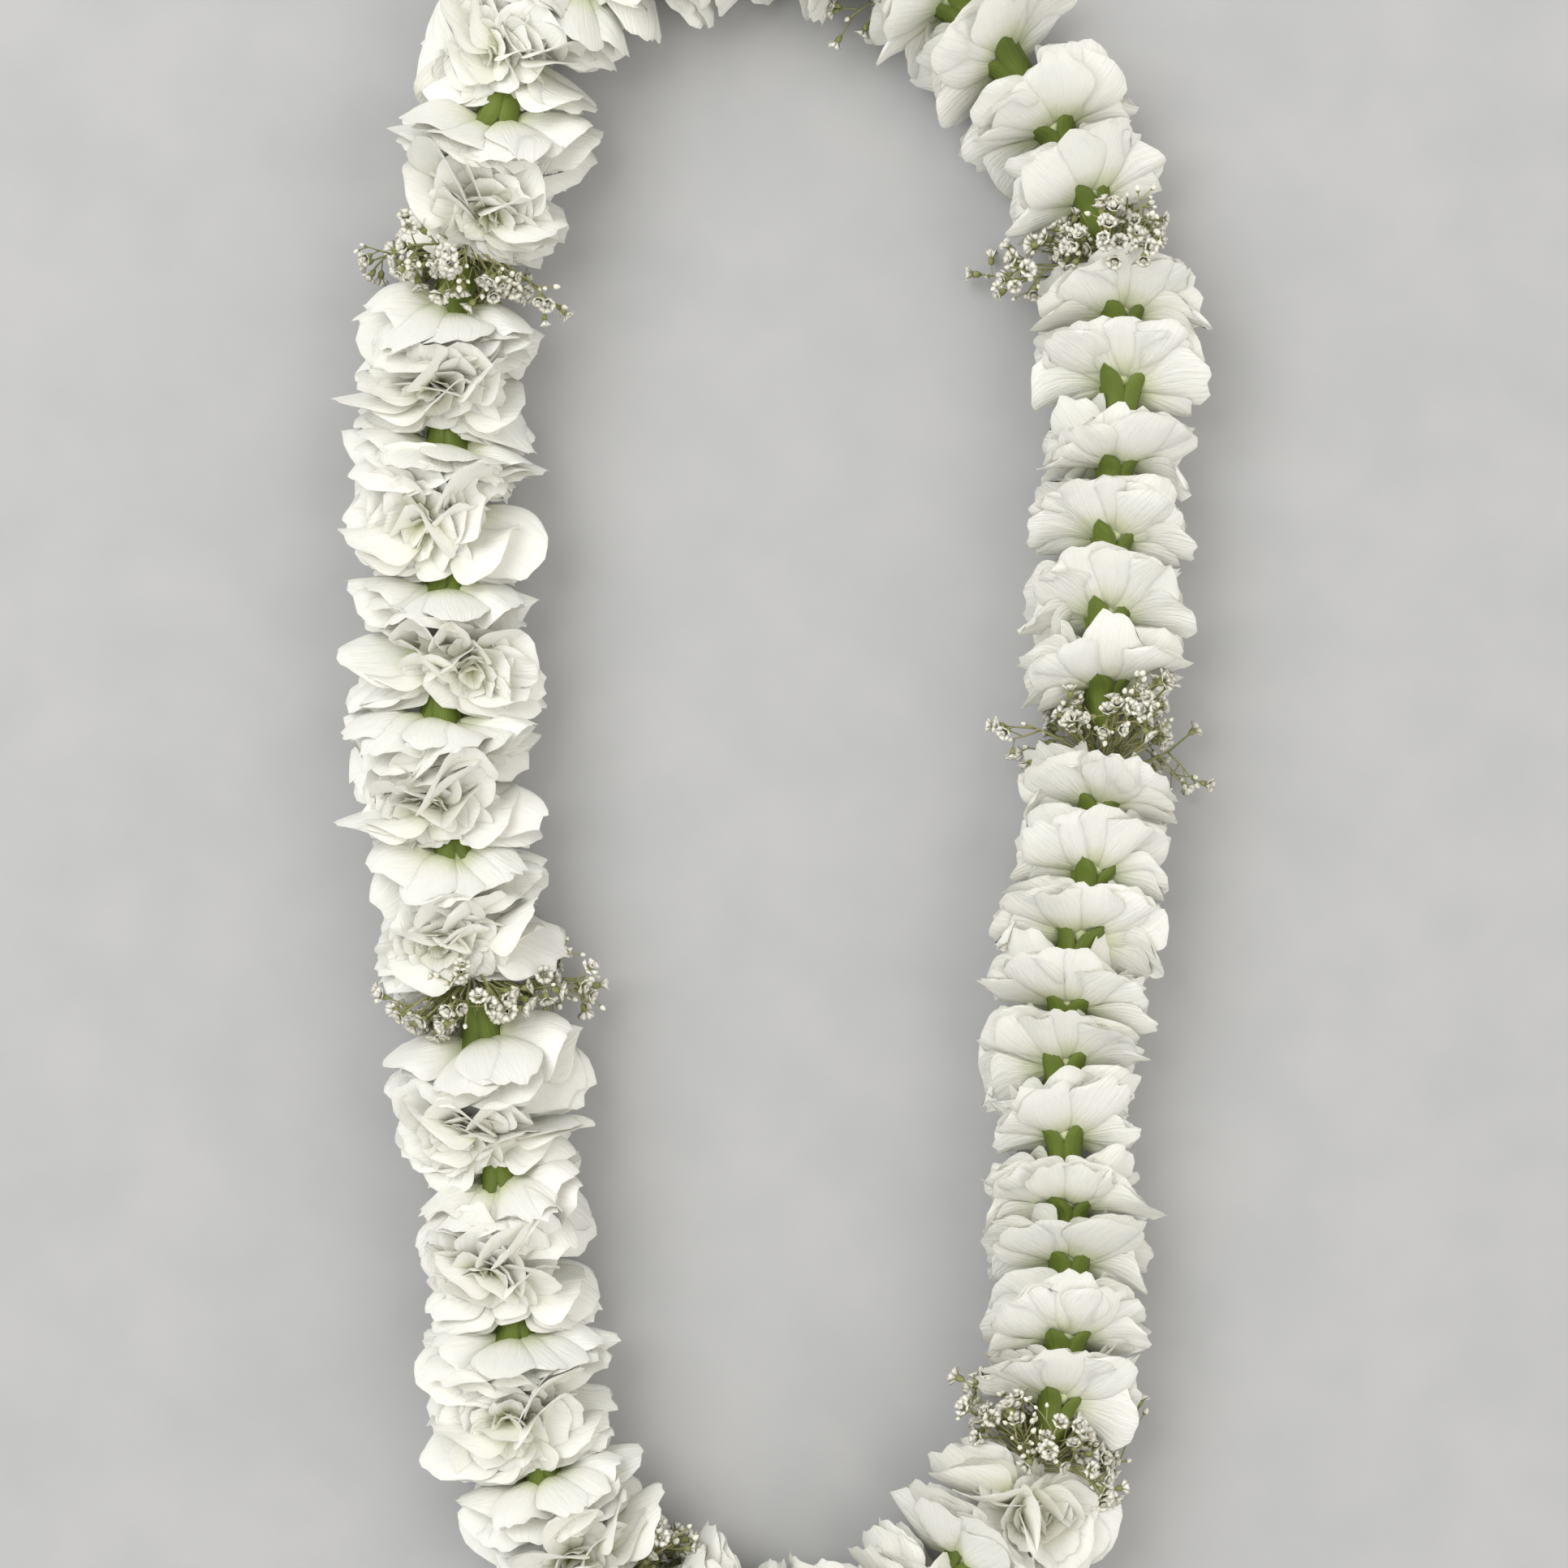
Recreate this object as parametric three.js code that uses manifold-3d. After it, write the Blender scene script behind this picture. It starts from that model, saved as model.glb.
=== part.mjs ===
// A fresh flower lei: double white stock florets strung face to calyx round a closed thread, with bands of
// baby's breath between the runs of florets. It lies flat on a table at z = 0, +Y along its length.
// Lengths are in millimetres.
import * as THREE from 'three';
import { mergeVertices } from 'three/addons/utils/BufferGeometryUtils.js';
import Module from 'manifold-3d';

const wasm = await Module();
wasm.setup();

// Driving dimensions
const THREAD_HEIGHT = 17;
const THREAD_CORNER = 0.6;
const THREAD_HOLE_CORNER = 1.2;
const THREAD_SLACK = 0.08;
const CALYX_LENGTH = 10.2;
const CALYX_TOP = -1.9;
const HEART_BOTTOM = -1.5;
const HEART_TOP = 2.4;
const HEART_CORNER = 5.2;
const HEART_HOLE_CORNER = 2.6;
const PISTIL_CORNER = 2;
const CALYX_BELLY = { corner: 4.5, above: 4.6 };
const SEPAL_TIPS = { corner: 5.7, below: 0.9 };
const BLADE_THICKNESS = 0.95;
const SMALLEST_DETAIL = 0.12;
const FULL_TURN = 2 * Math.PI;

// Where the thread runs, seen from above and in the order in which the florets face.
// The loop is the long oval in which the lei was laid out, pinched in a little at the left.
const THREAD_ROUTE = [
  [-3, 213], [-33, 208], [-53, 196], [-65, 181], [-72.6, 157], [-78, 133], [-82.6, 109],
  [-83, 73], [-84, 37], [-84, 1], [-79, -29], [-75, -59], [-71, -91], [-67, -119], [-65, -147],
  [-59, -171], [-45, -193], [-23, -207], [1, -212], [25, -205], [45, -191], [61, -171],
  [68, -147], [70, -119], [69, -83], [70, -53], [75, -27], [78, 1], [79, 25], [80, 53], [82, 85],
  [83, 109], [79, 133], [70, 155], [57, 175], [41, 193], [21, 208],
];
// The middle of the lei's outline in the route's own measures, which becomes x = 0, y = 0
const PLAN_CENTRE = [-3.9, -0.3];
const STEPS_PER_SPAN = 48;

// Each band of baby's breath, and the run of floret pairs that follows it.
// looseness is 0 where the florets are pressed into tight cups and 1 where their petals spread wide.
const LOOSE_FROM = 0.5;
const RUNS = [
  { spray: [-81, 123], pairs: 5, looseness: 1 },
  { spray: [-73, -57], pairs: 4, looseness: 1 },
  { spray: [-33, -202], pairs: 3, looseness: 0.6 },
  { spray: [69, -159], pairs: 5, looseness: 0 },
  { spray: [81, 17], pairs: 3, looseness: 0 },
  { spray: [81, 139], pairs: 2, looseness: 0.3 },
  { spray: [23, 205], pairs: 4, looseness: 0.8 },
];
const SPRAY_BEHIND = 22;
const SPRAY_AHEAD = 7;
const KNOT_AT = { run: 5, ahead: 2 };

// How the florets vary round the loop, as waves: [how many, how far]. Spacing is in millimetres along the
// thread, slant and nod are a share of the distance to the side of it and above it, and size is a share.
const SPACING_WAVES = [[23, 0.9], [37, 0.7]];
const SLANT_WAVES = [[19, 0.1], [31, 0.08]];
const NOD_WAVES = [[17, 0.08]];
const SIZE_WAVES = [[13, 0.05], [29, 0.04]];

// How a floret opens: [tight, loose]. A tight one has two broad petals that lie forward along the thread
// on top, and wings bent back at the sides. The upper margins of side petals tilt forward, so that their
// faces show from above. A lean is an angle off the thread, at the petal's root and at its tip.
const OUTER_WIDTH = [19, 20];
const OUTER = {
  top: { length: [21.5, 23], lean: [[52, 70], [16, 40]] },
  side: { length: [17.5, 24.5], lean: [[86, 66], [106, 42]] },
  bottom: { length: [18, 21], lean: [[76, 70], [70, 46]] },
};
const INNER_LENGTH = [15, 16];
const INNER_WIDTH = [13, 13.5];
const INNER_LEAN = [[36, 40], [50, 62]];
const OUTER_COUNT = [5, 4];
const INNER_COUNT = 2;
const PAIRED_ON_TOP = 0.3 * Math.PI;
const SIDE_TILT = 42;
const CUP_SLOPE = { top: [1.3, 0.6], side: [-0.15, 0.3], bottom: [0.3, 0.5] };
const FLORET_REACH = [14.6, 17.4];
const PRESSED_DEPTH = THREAD_HEIGHT + 0.3;
const PRESSED_SHARE = 0.1;
const BAND_BELOW = 5.4;
const BAND_GAP = 0.7;
// Every second floret of the loose runs faces up, the others hardly: its petals above the thread open on
const FACE_UP = { full: 1, slight: 0.15, opening: 85 };

// What sets the outer petals apart from the inner ones: how far round they stand (as a share of the space
// between two), where they grow from along the thread, and how they open
const LAYERS = {
  outer: { turned: 0, root: -0.3, stray: 8, faceUpShare: 1 },
  inner: { turned: 0.5, root: 1.1, stray: 5, faceUpShare: 0.6 },
};
// A petal's shape. The cup, twist and notch are shares of its half width and of its length.
const ROOT_RADIUS = 2.5;
const PETAL = {
  clawWidth: 0.22, tipWidth: 0.72, tipRound: 0.22, notch: 0.07, cup: 0.24, twist: 0.2, ruffle: 0.5,
};
// How far the draws stray from one petal to the next
const STRAY = { turn: 0.25, azimuth: 0.14, length: 0.09, width: 0.1, cup: 0.08, ruffle: 0.3, notch: 0.04 };

const MATERIALS = {
  petals: new THREE.MeshStandardMaterial({ color: 0xf4f3ea, roughness: 0.6, metalness: 0 }),
  calyces: new THREE.MeshStandardMaterial({ color: 0x6b8a2a, roughness: 0.6, metalness: 0 }),
  spray: new THREE.MeshStandardMaterial({ color: 0xa3a67c, roughness: 0.7, metalness: 0 }),
  thread: new THREE.MeshStandardMaterial({ color: 0xe9e6da, roughness: 0.8, metalness: 0 }),
};

const mix = (range, t) => range[0] + (range[1] - range[0]) * t;
const radians = (degrees) => degrees * Math.PI / 180;

// A repeatable stream of numbers from 0 to 1
function randomStream(seed) {
  let state = seed >>> 0;
  return () => {
    state = (state + 0x6d2b79f5) >>> 0;
    let mixed = Math.imul(state ^ (state >>> 15), state | 1);
    mixed = (mixed + Math.imul(mixed ^ (mixed >>> 7), mixed | 61)) ^ mixed;
    return ((mixed ^ (mixed >>> 14)) >>> 0) / 4294967296;
  };
}

const onPlan = ([x, y]) => new THREE.Vector3(x - PLAN_CENTRE[0], y - PLAN_CENTRE[1], THREAD_HEIGHT);

// The thread's line, measured along its length
function measureRoute() {
  const points = THREAD_ROUTE.map(onPlan);
  const curve = new THREE.CatmullRomCurve3(points, true, 'catmullrom', 0.5);
  const samples = points.length * STEPS_PER_SPAN;
  const stations = [];
  let travelled = 0;
  for (let i = 0; i <= samples; i += 1) {
    const at = curve.getPoint(i / samples);
    if (i > 0) travelled += at.distanceTo(stations[i - 1].at);
    stations.push({ at, travelled });
  }
  return { stations, length: travelled };
}
const ROUTE = measureRoute();

function onRoute(along) {
  const wrapped = ((along % ROUTE.length) + ROUTE.length) % ROUTE.length;
  let low = 0;
  let high = ROUTE.stations.length - 1;
  while (high - low > 1) {
    const middle = (low + high) >> 1;
    if (ROUTE.stations[middle].travelled > wrapped) high = middle;
    else low = middle;
  }
  const before = ROUTE.stations[low];
  const after = ROUTE.stations[high];
  const share = (wrapped - before.travelled) / (after.travelled - before.travelled);
  return before.at.clone().lerp(after.at, share);
}

function nearestOnRoute(place) {
  const target = onPlan(place);
  const distance = (station) => station.at.distanceTo(target);
  const nearer = (best, station) => (distance(station) < distance(best) ? station : best);
  return ROUTE.stations.reduce(nearer).travelled;
}

// The sum of some waves at one place along the thread
const waves = (list, along) => list.reduce((sum, [count, reach]) => (
  sum + reach * Math.sin(FULL_TURN * count * along / ROUTE.length + count)), 0);

// Lays a point out on the route from strand space: x towards the loop's inside, y up, z along the thread
const TANGENT_REACH = 1.5;
function layOut({ x, y, z }) {
  const slant = waves(SLANT_WAVES, z) * x + waves(NOD_WAVES, z) * Math.max(0, y);
  const along = z + waves(SPACING_WAVES, z) + slant;
  const size = 1 + waves(SIZE_WAVES, z);
  const centre = onRoute(along);
  const tangent = onRoute(along + TANGENT_REACH).sub(onRoute(along - TANGENT_REACH)).normalize();
  const inward = new THREE.Vector3(-tangent.y, tangent.x, 0);
  return centre.addScaledVector(inward, size * x).setZ(THREAD_HEIGHT + (y > 0 ? size : 1) * y);
}

// Four corners round the thread's line
const ring = (corner, along) => [1, 3, 5, 7].map((eighth) => {
  const angle = eighth * FULL_TURN / 8;
  return new THREE.Vector3(corner * Math.cos(angle), corner * Math.sin(angle), along);
});

// Triangles between two rings, the second with as many points as the first or twice as many
function stitch(faces, first, second) {
  const count = first.length;
  for (let i = 0; i < count; i += 1) {
    const next = (i + 1) % count;
    if (second.length === count) {
      faces.push([first[i], first[next], second[next]], [first[i], second[next], second[i]]);
    } else {
      const after = (2 * i + 2) % second.length;
      faces.push([first[i], second[2 * i + 1], second[2 * i]]);
      faces.push([first[i], first[next], second[2 * i + 1]]);
      faces.push([first[next], second[after], second[2 * i + 1]]);
    }
  }
}

function fan(faces, loop, tip) {
  loop.forEach((corner, i) => faces.push([corner, loop[(i + 1) % loop.length], tip]));
}

// A closed body from points and triangles of point numbers
function solid(points, faces) {
  const mesh = new wasm.Mesh({
    numProp: 3,
    vertProperties: Float32Array.from(points.flatMap((point) => point.toArray())),
    triVerts: Uint32Array.from(faces.flat()),
  });
  return new wasm.Manifold(mesh);
}

// A body whose skin runs through the rings and back to the first, with a hole along its middle
function holedBody(rings) {
  const points = rings.flat().map(layOut);
  const faces = [];
  let start = 0;
  const numbers = rings.map((loop) => {
    start += loop.length;
    return loop.map((_, i) => start - loop.length + i);
  });
  numbers.forEach((loop, i) => stitch(faces, loop, numbers[(i + 1) % numbers.length]));
  return solid(points, faces);
}

// A value at one direction off the thread, between those above it, beside it and below it.
// upright is 1 straight above the thread and -1 straight below.
const roundThread = (upright, top, side, bottom) => (
  mix([side, upright > 0 ? top : bottom], Math.abs(upright)));

// An outer petal's length and leans at one direction off the thread
function outerShape(upright, looseness) {
  const { top, side, bottom } = OUTER;
  const at = (value) => roundThread(upright, value(top), value(side), value(bottom));
  return {
    length: at((part) => mix(part.length, looseness)),
    lean: [0, 1].map((end) => at((part) => mix(part.lean[end], looseness))),
    width: mix(OUTER_WIDTH, looseness),
  };
}

const innerShape = (looseness) => ({
  length: mix(INNER_LENGTH, looseness),
  lean: [0, 1].map((end) => mix(INNER_LEAN[end], looseness)),
  width: mix(INNER_WIDTH, looseness),
});

// One floret's petals, each as the few numbers that shape it
function floretPetals(floret) {
  const random = randomStream(floret.seed);
  const wander = (amount) => (random() * 2 - 1) * amount;
  const { looseness, faceUp } = floret;
  const tight = looseness < LOOSE_FROM;
  const turn = tight ? PAIRED_ON_TOP + wander(STRAY.turn) : random() * FULL_TURN;
  const petal = (layer, index, count) => {
    const azimuth = turn + (index + layer.turned) * FULL_TURN / count + wander(STRAY.azimuth);
    const upright = Math.sin(azimuth);
    const shape = layer === LAYERS.outer ? outerShape(upright, looseness) : innerShape(looseness);
    const pitch = faceUp * FACE_UP.opening * Math.max(0, upright);
    const opening = wander(layer.stray) + layer.faceUpShare * pitch;
    return {
      azimuth,
      length: shape.length * (1 + wander(STRAY.length)),
      width: shape.width * (1 + wander(STRAY.width)),
      leans: [shape.lean[0] + opening / 2, shape.lean[1] + opening],
      tilt: SIDE_TILT * Math.cos(azimuth),
      root: [ROOT_RADIUS, layer.root],
      cup: PETAL.cup + wander(STRAY.cup),
      ruffle: PETAL.ruffle + wander(STRAY.ruffle),
      phase: random() * FULL_TURN,
      notch: PETAL.notch + wander(STRAY.notch),
    };
  };
  const whorl = (layer, count) => Array.from({ length: count }, (_, i) => petal(layer, i, count));
  const outer = whorl(LAYERS.outer, OUTER_COUNT[tight ? 0 : 1]);
  const inner = whorl(LAYERS.inner, INNER_COUNT);
  return { outer, inner };
}

// The petal's middle line in the plane through the thread: a curve of three control points
function controls(petal) {
  if (petal.route) return petal.route;
  const [first, last] = petal.leans.map(radians);
  const half = petal.length / 2;
  const bend = [petal.root[0] + half * Math.sin(first), petal.root[1] + half * Math.cos(first)];
  return [petal.root, bend, [bend[0] + half * Math.sin(last), bend[1] + half * Math.cos(last)]];
}

function middleLine(petal, along) {
  const [start, bend, end] = controls(petal);
  const left = 1 - along;
  const weights = [left * left, 2 * left * along, along * along];
  const at = [0, 1].map((i) => weights[0] * start[i] + weights[1] * bend[i] + weights[2] * end[i]);
  const slope = [0, 1].map((i) => left * (bend[i] - start[i]) + along * (end[i] - bend[i]));
  const length = Math.hypot(...slope);
  return { radius: at[0], forward: at[1], outward: slope[0] / length, onward: slope[1] / length };
}

// Half the petal's width along its length, as a share of the widest
const WIDEST = 0.72;
function spread(u) {
  if (u < WIDEST) return mix([PETAL.clawWidth, 1], Math.sin(u / WIDEST * Math.PI / 2) ** 1.2);
  return mix([1, PETAL.tipWidth], ((u - WIDEST) / (1 - WIDEST)) ** 2);
}

// A point of a petal: u from root to tip, v from edge to edge, lift off its middle surface
function petalPoint(petal, floret, u, v, lift) {
  const notch = petal.notch * u ** 3 * Math.exp(-((v / 0.25) ** 2));
  const line = middleLine(petal, u - PETAL.tipRound * u * u * v * v - notch);
  const half = petal.width / 2 * spread(u);
  const tilt = radians(petal.tilt);
  const wave = petal.ruffle * u * u * Math.sin(3.2 * v + petal.phase);
  const rise = half * (petal.cup * v * v + PETAL.twist * v * u + Math.sin(tilt) * v) + wave;
  const radius = line.radius - line.onward * rise;
  const forward = floret.along + line.forward + line.outward * rise;
  const across = half * v * Math.cos(tilt);
  const cosine = Math.cos(petal.azimuth);
  const sine = Math.sin(petal.azimuth);
  const inward = radius * cosine - across * sine;
  const point = new THREE.Vector3(inward, radius * sine + across * cosine, forward);
  const offSurface = new THREE.Vector3(-line.onward * cosine, -line.onward * sine, line.outward);
  return settle(keepInBand(point, floret), floret).addScaledVector(offSurface, lift);
}

// Each pair of florets keeps to its own cup-shaped stretch of the strand
function keepInBand(point, floret) {
  const radius = Math.hypot(point.x, point.y);
  const slopes = ['top', 'side', 'bottom'].map((part) => mix(CUP_SLOPE[part], floret.looseness));
  const cupped = roundThread(point.y / radius, ...slopes) * Math.max(0, radius - ROOT_RADIUS);
  const [low, high] = floret.band;
  point.z = Math.min(high, Math.max(low, point.z - cupped)) + cupped;
  return point;
}

// The lei's own weight presses its underside: what would reach below the table lies along it
function settle(point, floret, clearance = 0) {
  if (point.y >= 0) return point;
  const depth = -point.y * THREAD_HEIGHT / mix(FLORET_REACH, floret.looseness);
  const deepest = PRESSED_DEPTH - clearance;
  point.y = -Math.min(depth, deepest + PRESSED_SHARE * (depth - deepest));
  return point;
}

const OUTER_BORDER = [[0, 0], [0.42, -1], [0.9, -0.9], [1, -0.3], [1, 0.4], [0.88, 0.95], [0.42, 1]];
const INNER_BORDER = [[0, 0], [0.5, -1], [0.95, -0.7], [0.98, 0.6], [0.5, 1]];
const MIDDLE = [0.46, 0];

// A thin lens-shaped blade: both faces share the border and fan out from a point off its middle
function blade(petal, floret, outline) {
  const rim = outline.map(([u, v]) => petalPoint(petal, floret, u, v, 0));
  const [upper, lower] = [0.5, -0.5].map((side) => (
    petalPoint(petal, floret, ...MIDDLE, side * BLADE_THICKNESS)));
  const faces = [];
  const border = rim.map((_, i) => i);
  fan(faces, border, rim.length);
  fan(faces, border.toReversed(), rim.length + 1);
  return solid([...rim, upper, lower].map(layOut), faces);
}

// The white claws of the petals, packed round the thread in the floret's middle
function heart(floret) {
  const { along } = floret;
  return holedBody([
    ring(HEART_CORNER, along + HEART_BOTTOM),
    ring(HEART_CORNER, along + HEART_TOP),
    ring(HEART_HOLE_CORNER, along + HEART_TOP),
    ring(HEART_HOLE_CORNER, along + HEART_BOTTOM),
  ]);
}

const lowest = (petals) => petals.reduce((best, petal) => (
  Math.sin(petal.azimuth) < Math.sin(best.azimuth) ? petal : best));

// The second floret's petal that falls back on to one of the floret behind, so that the two hold together.
// It bends over next to its root, crosses the petal that bears it near that one's widest and ends past it.
const FALL = { bendShare: 0.62, bendOut: 1.5, bendAhead: 1.4, past: 1.8, narrowed: 0.8 };
function fallBack(petal, floret, behind, support) {
  const { radius, forward, outward, onward } = middleLine(support, WIDEST);
  const crossing = forward + behind.along - floret.along;
  const tip = [radius + FALL.past * onward, crossing - FALL.past * outward];
  const bend = [FALL.bendShare * radius + FALL.bendOut, FALL.bendAhead];
  const width = FALL.narrowed * petal.width;
  return { ...petal, azimuth: support.azimuth, route: [petal.root, bend, tip], width };
}

function petalPair(first, second) {
  const petals = [first, second].map(floretPetals);
  const under = petals[1].outer.indexOf(lowest(petals[1].outer));
  petals[1].outer[under] = fallBack(petals[1].outer[under], second, first, lowest(petals[0].inner));
  const parts = [first, second].flatMap((floret, i) => [
    heart(floret),
    ...petals[i].outer.map((petal) => blade(petal, floret, OUTER_BORDER)),
    ...petals[i].inner.map((petal) => blade(petal, floret, INNER_BORDER)),
  ]);
  return resting(wasm.Manifold.union(parts));
}

// Cut level with the table
const resting = (body) => body.trimByPlane([0, 0, 1], 0).simplify(SMALLEST_DETAIL);

// A calyx: four sepals grown into a squarish tube, their tips turned out at the rim
function calyxRings({ along }) {
  const start = along + CALYX_TOP - CALYX_LENGTH;
  return [
    ring(PISTIL_CORNER, start),
    ring(CALYX_BELLY.corner, start + CALYX_BELLY.above),
    ring(SEPAL_TIPS.corner, along + CALYX_TOP - SEPAL_TIPS.below),
    ring(PISTIL_CORNER, along + CALYX_TOP),
  ];
}

function calyxPair(first, second) {
  const hole = [second, first].flatMap(({ along }) => [
    ring(THREAD_HOLE_CORNER, along + CALYX_TOP),
    ring(THREAD_HOLE_CORNER, along + CALYX_TOP - CALYX_LENGTH),
  ]);
  return holedBody([...calyxRings(first), ...calyxRings(second), ...hole]);
}

// A band of baby's breath: a short bunch of stems round the thread, and sprigs that fan out of it
const SPRAY_HUB = { from: 3.6, to: 13, corner: 2.4 };
const SPRAY_SEED = 900;
const SPRIG_COUNT = 8;
const SPRIG_ROOT = 1.4;
const SPRIG_STEM = 0.46;
// A sprig's flower: its radius, and its neck, rim and top beyond the stem's end
const SPRIG_FLOWER = { radius: 2.3, neck: -1.6, rim: 0.4, top: 1.9 };
// The sprigs' lean off the thread and their length, each between two values, and how far back they start
const OUTERMOST_SPRIG = { lean: [62, 72], length: [19, 23] };
const OTHER_SPRIG = { lean: [44, 56], length: [13, 17] };
const SPRIG_START = [-1.4, -3];
const SPRIG_STRAY = 0.3;

function sprig(floret, azimuth, lean, length, start) {
  const heading = new THREE.Vector3(
    Math.sin(lean) * Math.cos(azimuth), Math.sin(lean) * Math.sin(azimuth), Math.cos(lean));
  const side = new THREE.Vector3(-Math.sin(azimuth), Math.cos(azimuth), 0);
  const up = heading.clone().cross(side);
  const root = new THREE.Vector3(SPRIG_ROOT * Math.cos(azimuth), SPRIG_ROOT * Math.sin(azimuth), start);
  const axis = (distance) => (
    settle(root.clone().addScaledVector(heading, distance), floret, SPRIG_FLOWER.radius));
  const section = (count, corner, distance) => Array.from({ length: count }, (_, i) => {
    const angle = i * FULL_TURN / count;
    return axis(distance)
      .addScaledVector(side, corner * Math.cos(angle)).addScaledVector(up, corner * Math.sin(angle));
  });
  const stem = section(3, SPRIG_STEM, 0);
  const neck = section(3, SPRIG_STEM, length + SPRIG_FLOWER.neck);
  const flower = section(6, SPRIG_FLOWER.radius, length + SPRIG_FLOWER.rim);
  const points = [...stem, ...neck, ...flower, axis(length + SPRIG_FLOWER.top)].map(layOut);
  const faces = [[0, 2, 1]];
  stitch(faces, [0, 1, 2], [3, 4, 5]);
  stitch(faces, [3, 4, 5], [6, 7, 8, 9, 10, 11]);
  fan(faces, [6, 7, 8, 9, 10, 11], 12);
  return solid(points, faces);
}

function spray(last, next, seed) {
  const random = randomStream(seed);
  const hub = holedBody([
    ring(SPRAY_HUB.corner, last.along + SPRAY_HUB.from),
    ring(SPRAY_HUB.corner, last.along + SPRAY_HUB.to),
    ring(THREAD_HOLE_CORNER, last.along + SPRAY_HUB.to),
    ring(THREAD_HOLE_CORNER, last.along + SPRAY_HUB.from),
  ]);
  const sprigs = Array.from({ length: SPRIG_COUNT }, (_, i) => {
    const azimuth = (i + SPRIG_STRAY * (random() * 2 - 1)) * FULL_TURN / SPRIG_COUNT;
    const kind = i % 3 === 0 ? OUTERMOST_SPRIG : OTHER_SPRIG;
    const lean = radians(mix(kind.lean, random()));
    const length = mix(kind.length, random());
    return sprig(next, azimuth, lean, length, last.along + SPRAY_HUB.to + mix(SPRIG_START, random()));
  });
  return resting(wasm.Manifold.union([hub, ...sprigs]));
}

const KNOT = [[-1.1, THREAD_CORNER], [-0.5, 1.5], [0.5, 1.5], [1.1, THREAD_CORNER]];

// The stations between which the thread runs straight without leaving the middle of its holes
function neededStations(stations) {
  const kept = [stations[0]];
  for (let i = 1; i < stations.length - 1; i += 1) {
    const chord = new THREE.Line3(onRoute(kept[kept.length - 1]), onRoute(stations[i + 1]));
    const here = onRoute(stations[i]);
    const onChord = chord.closestPointToPoint(here, true, new THREE.Vector3());
    if (here.distanceTo(onChord) > THREAD_SLACK) kept.push(stations[i]);
  }
  return [...kept, stations[stations.length - 1]];
}

// The thread, as one closed loop with a knot in it
function threadLoop(stations, knotAt) {
  const loops = neededStations(stations).map((along) => ring(THREAD_CORNER, along));
  const knot = KNOT.map(([step, corner]) => ring(corner, knotAt + step));
  const all = [...loops, ...knot].sort((a, b) => a[0].z - b[0].z);
  const points = all.flat().map(layOut);
  const faces = [];
  const numbers = all.map((_, i) => [0, 1, 2, 3].map((corner) => 4 * i + corner));
  numbers.forEach((loop, i) => stitch(faces, loop, numbers[(i + 1) % numbers.length]));
  return solid(points, faces);
}

// Every floret's place on the thread, run by run
function stringFlorets() {
  const centres = RUNS.map((run) => nearestOnRoute(run.spray));
  let seed = 1;
  return RUNS.map((run, number) => {
    const start = centres[number] + SPRAY_AHEAD;
    let end = centres[(number + 1) % RUNS.length] - SPRAY_BEHIND;
    if (end < start) end += ROUTE.length;
    const spacing = (end - start) / (2 * run.pairs - 1);
    return Array.from({ length: 2 * run.pairs }, (_, i) => {
      const along = start + i * spacing;
      const pairStart = i % 2 === 0 ? along : along - spacing;
      seed += 1;
      return {
        along,
        seed,
        looseness: run.looseness,
        faceUp: run.looseness > LOOSE_FROM && i % 2 === 1 ? FACE_UP.full : FACE_UP.slight,
        band: [pairStart - BAND_BELOW, pairStart - BAND_BELOW + 2 * spacing - BAND_GAP],
      };
    });
  });
}

function meshOf(body, name, material) {
  const { vertProperties, triVerts } = body.getMesh();
  const geometry = new THREE.BufferGeometry();
  geometry.setAttribute('position', new THREE.BufferAttribute(Float32Array.from(vertProperties), 3));
  geometry.setIndex(new THREE.BufferAttribute(Uint32Array.from(triVerts), 1));
  const mesh = new THREE.Mesh(mergeVertices(geometry), material);
  mesh.geometry.computeVertexNormals();
  mesh.name = name;
  return mesh;
}

const numbered = (name, number) => `${name}_${String(number).padStart(2, '0')}`;

function buildLei() {
  const lei = new THREE.Group();
  const runs = stringFlorets();
  const florets = runs.flat();
  for (let i = 0; i < florets.length; i += 2) {
    const pair = [florets[i], florets[i + 1]];
    const number = i / 2 + 1;
    lei.add(meshOf(petalPair(...pair), numbered('petals', number), MATERIALS.petals));
    lei.add(meshOf(calyxPair(...pair), numbered('calyces', number), MATERIALS.calyces));
  }
  const lastOfRuns = runs.map((run) => run[run.length - 1]);
  runs.forEach((run, i) => {
    const last = lastOfRuns[(i + runs.length - 1) % runs.length];
    const body = spray(last, run[0], SPRAY_SEED + i);
    lei.add(meshOf(body, numbered('baby_breath', i + 1), MATERIALS.spray));
  });
  const stations = florets.flatMap(({ along }) => [along + CALYX_TOP - CALYX_LENGTH, along + CALYX_TOP])
    .concat(lastOfRuns.flatMap(({ along }) => [along + SPRAY_HUB.from, along + SPRAY_HUB.to]))
    .sort((a, b) => a - b);
  const knotAt = lastOfRuns[KNOT_AT.run].along + SPRAY_HUB.to + KNOT_AT.ahead;
  lei.add(meshOf(threadLoop(stations, knotAt), 'thread', MATERIALS.thread));
  return lei;
}

export default buildLei();
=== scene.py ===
# A fresh flower lei on a pale table: double white stock florets, bands of baby's breath and the thread.
# The strand is laid out by the same route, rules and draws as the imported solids, so that every petal,
# calyx and sprig keeps its place, and finer petals and flowers are grown between them.
# Lengths are in millimetres until a mesh is made, which is in metres.
import math
from dataclasses import dataclass, replace
from functools import cache

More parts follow.
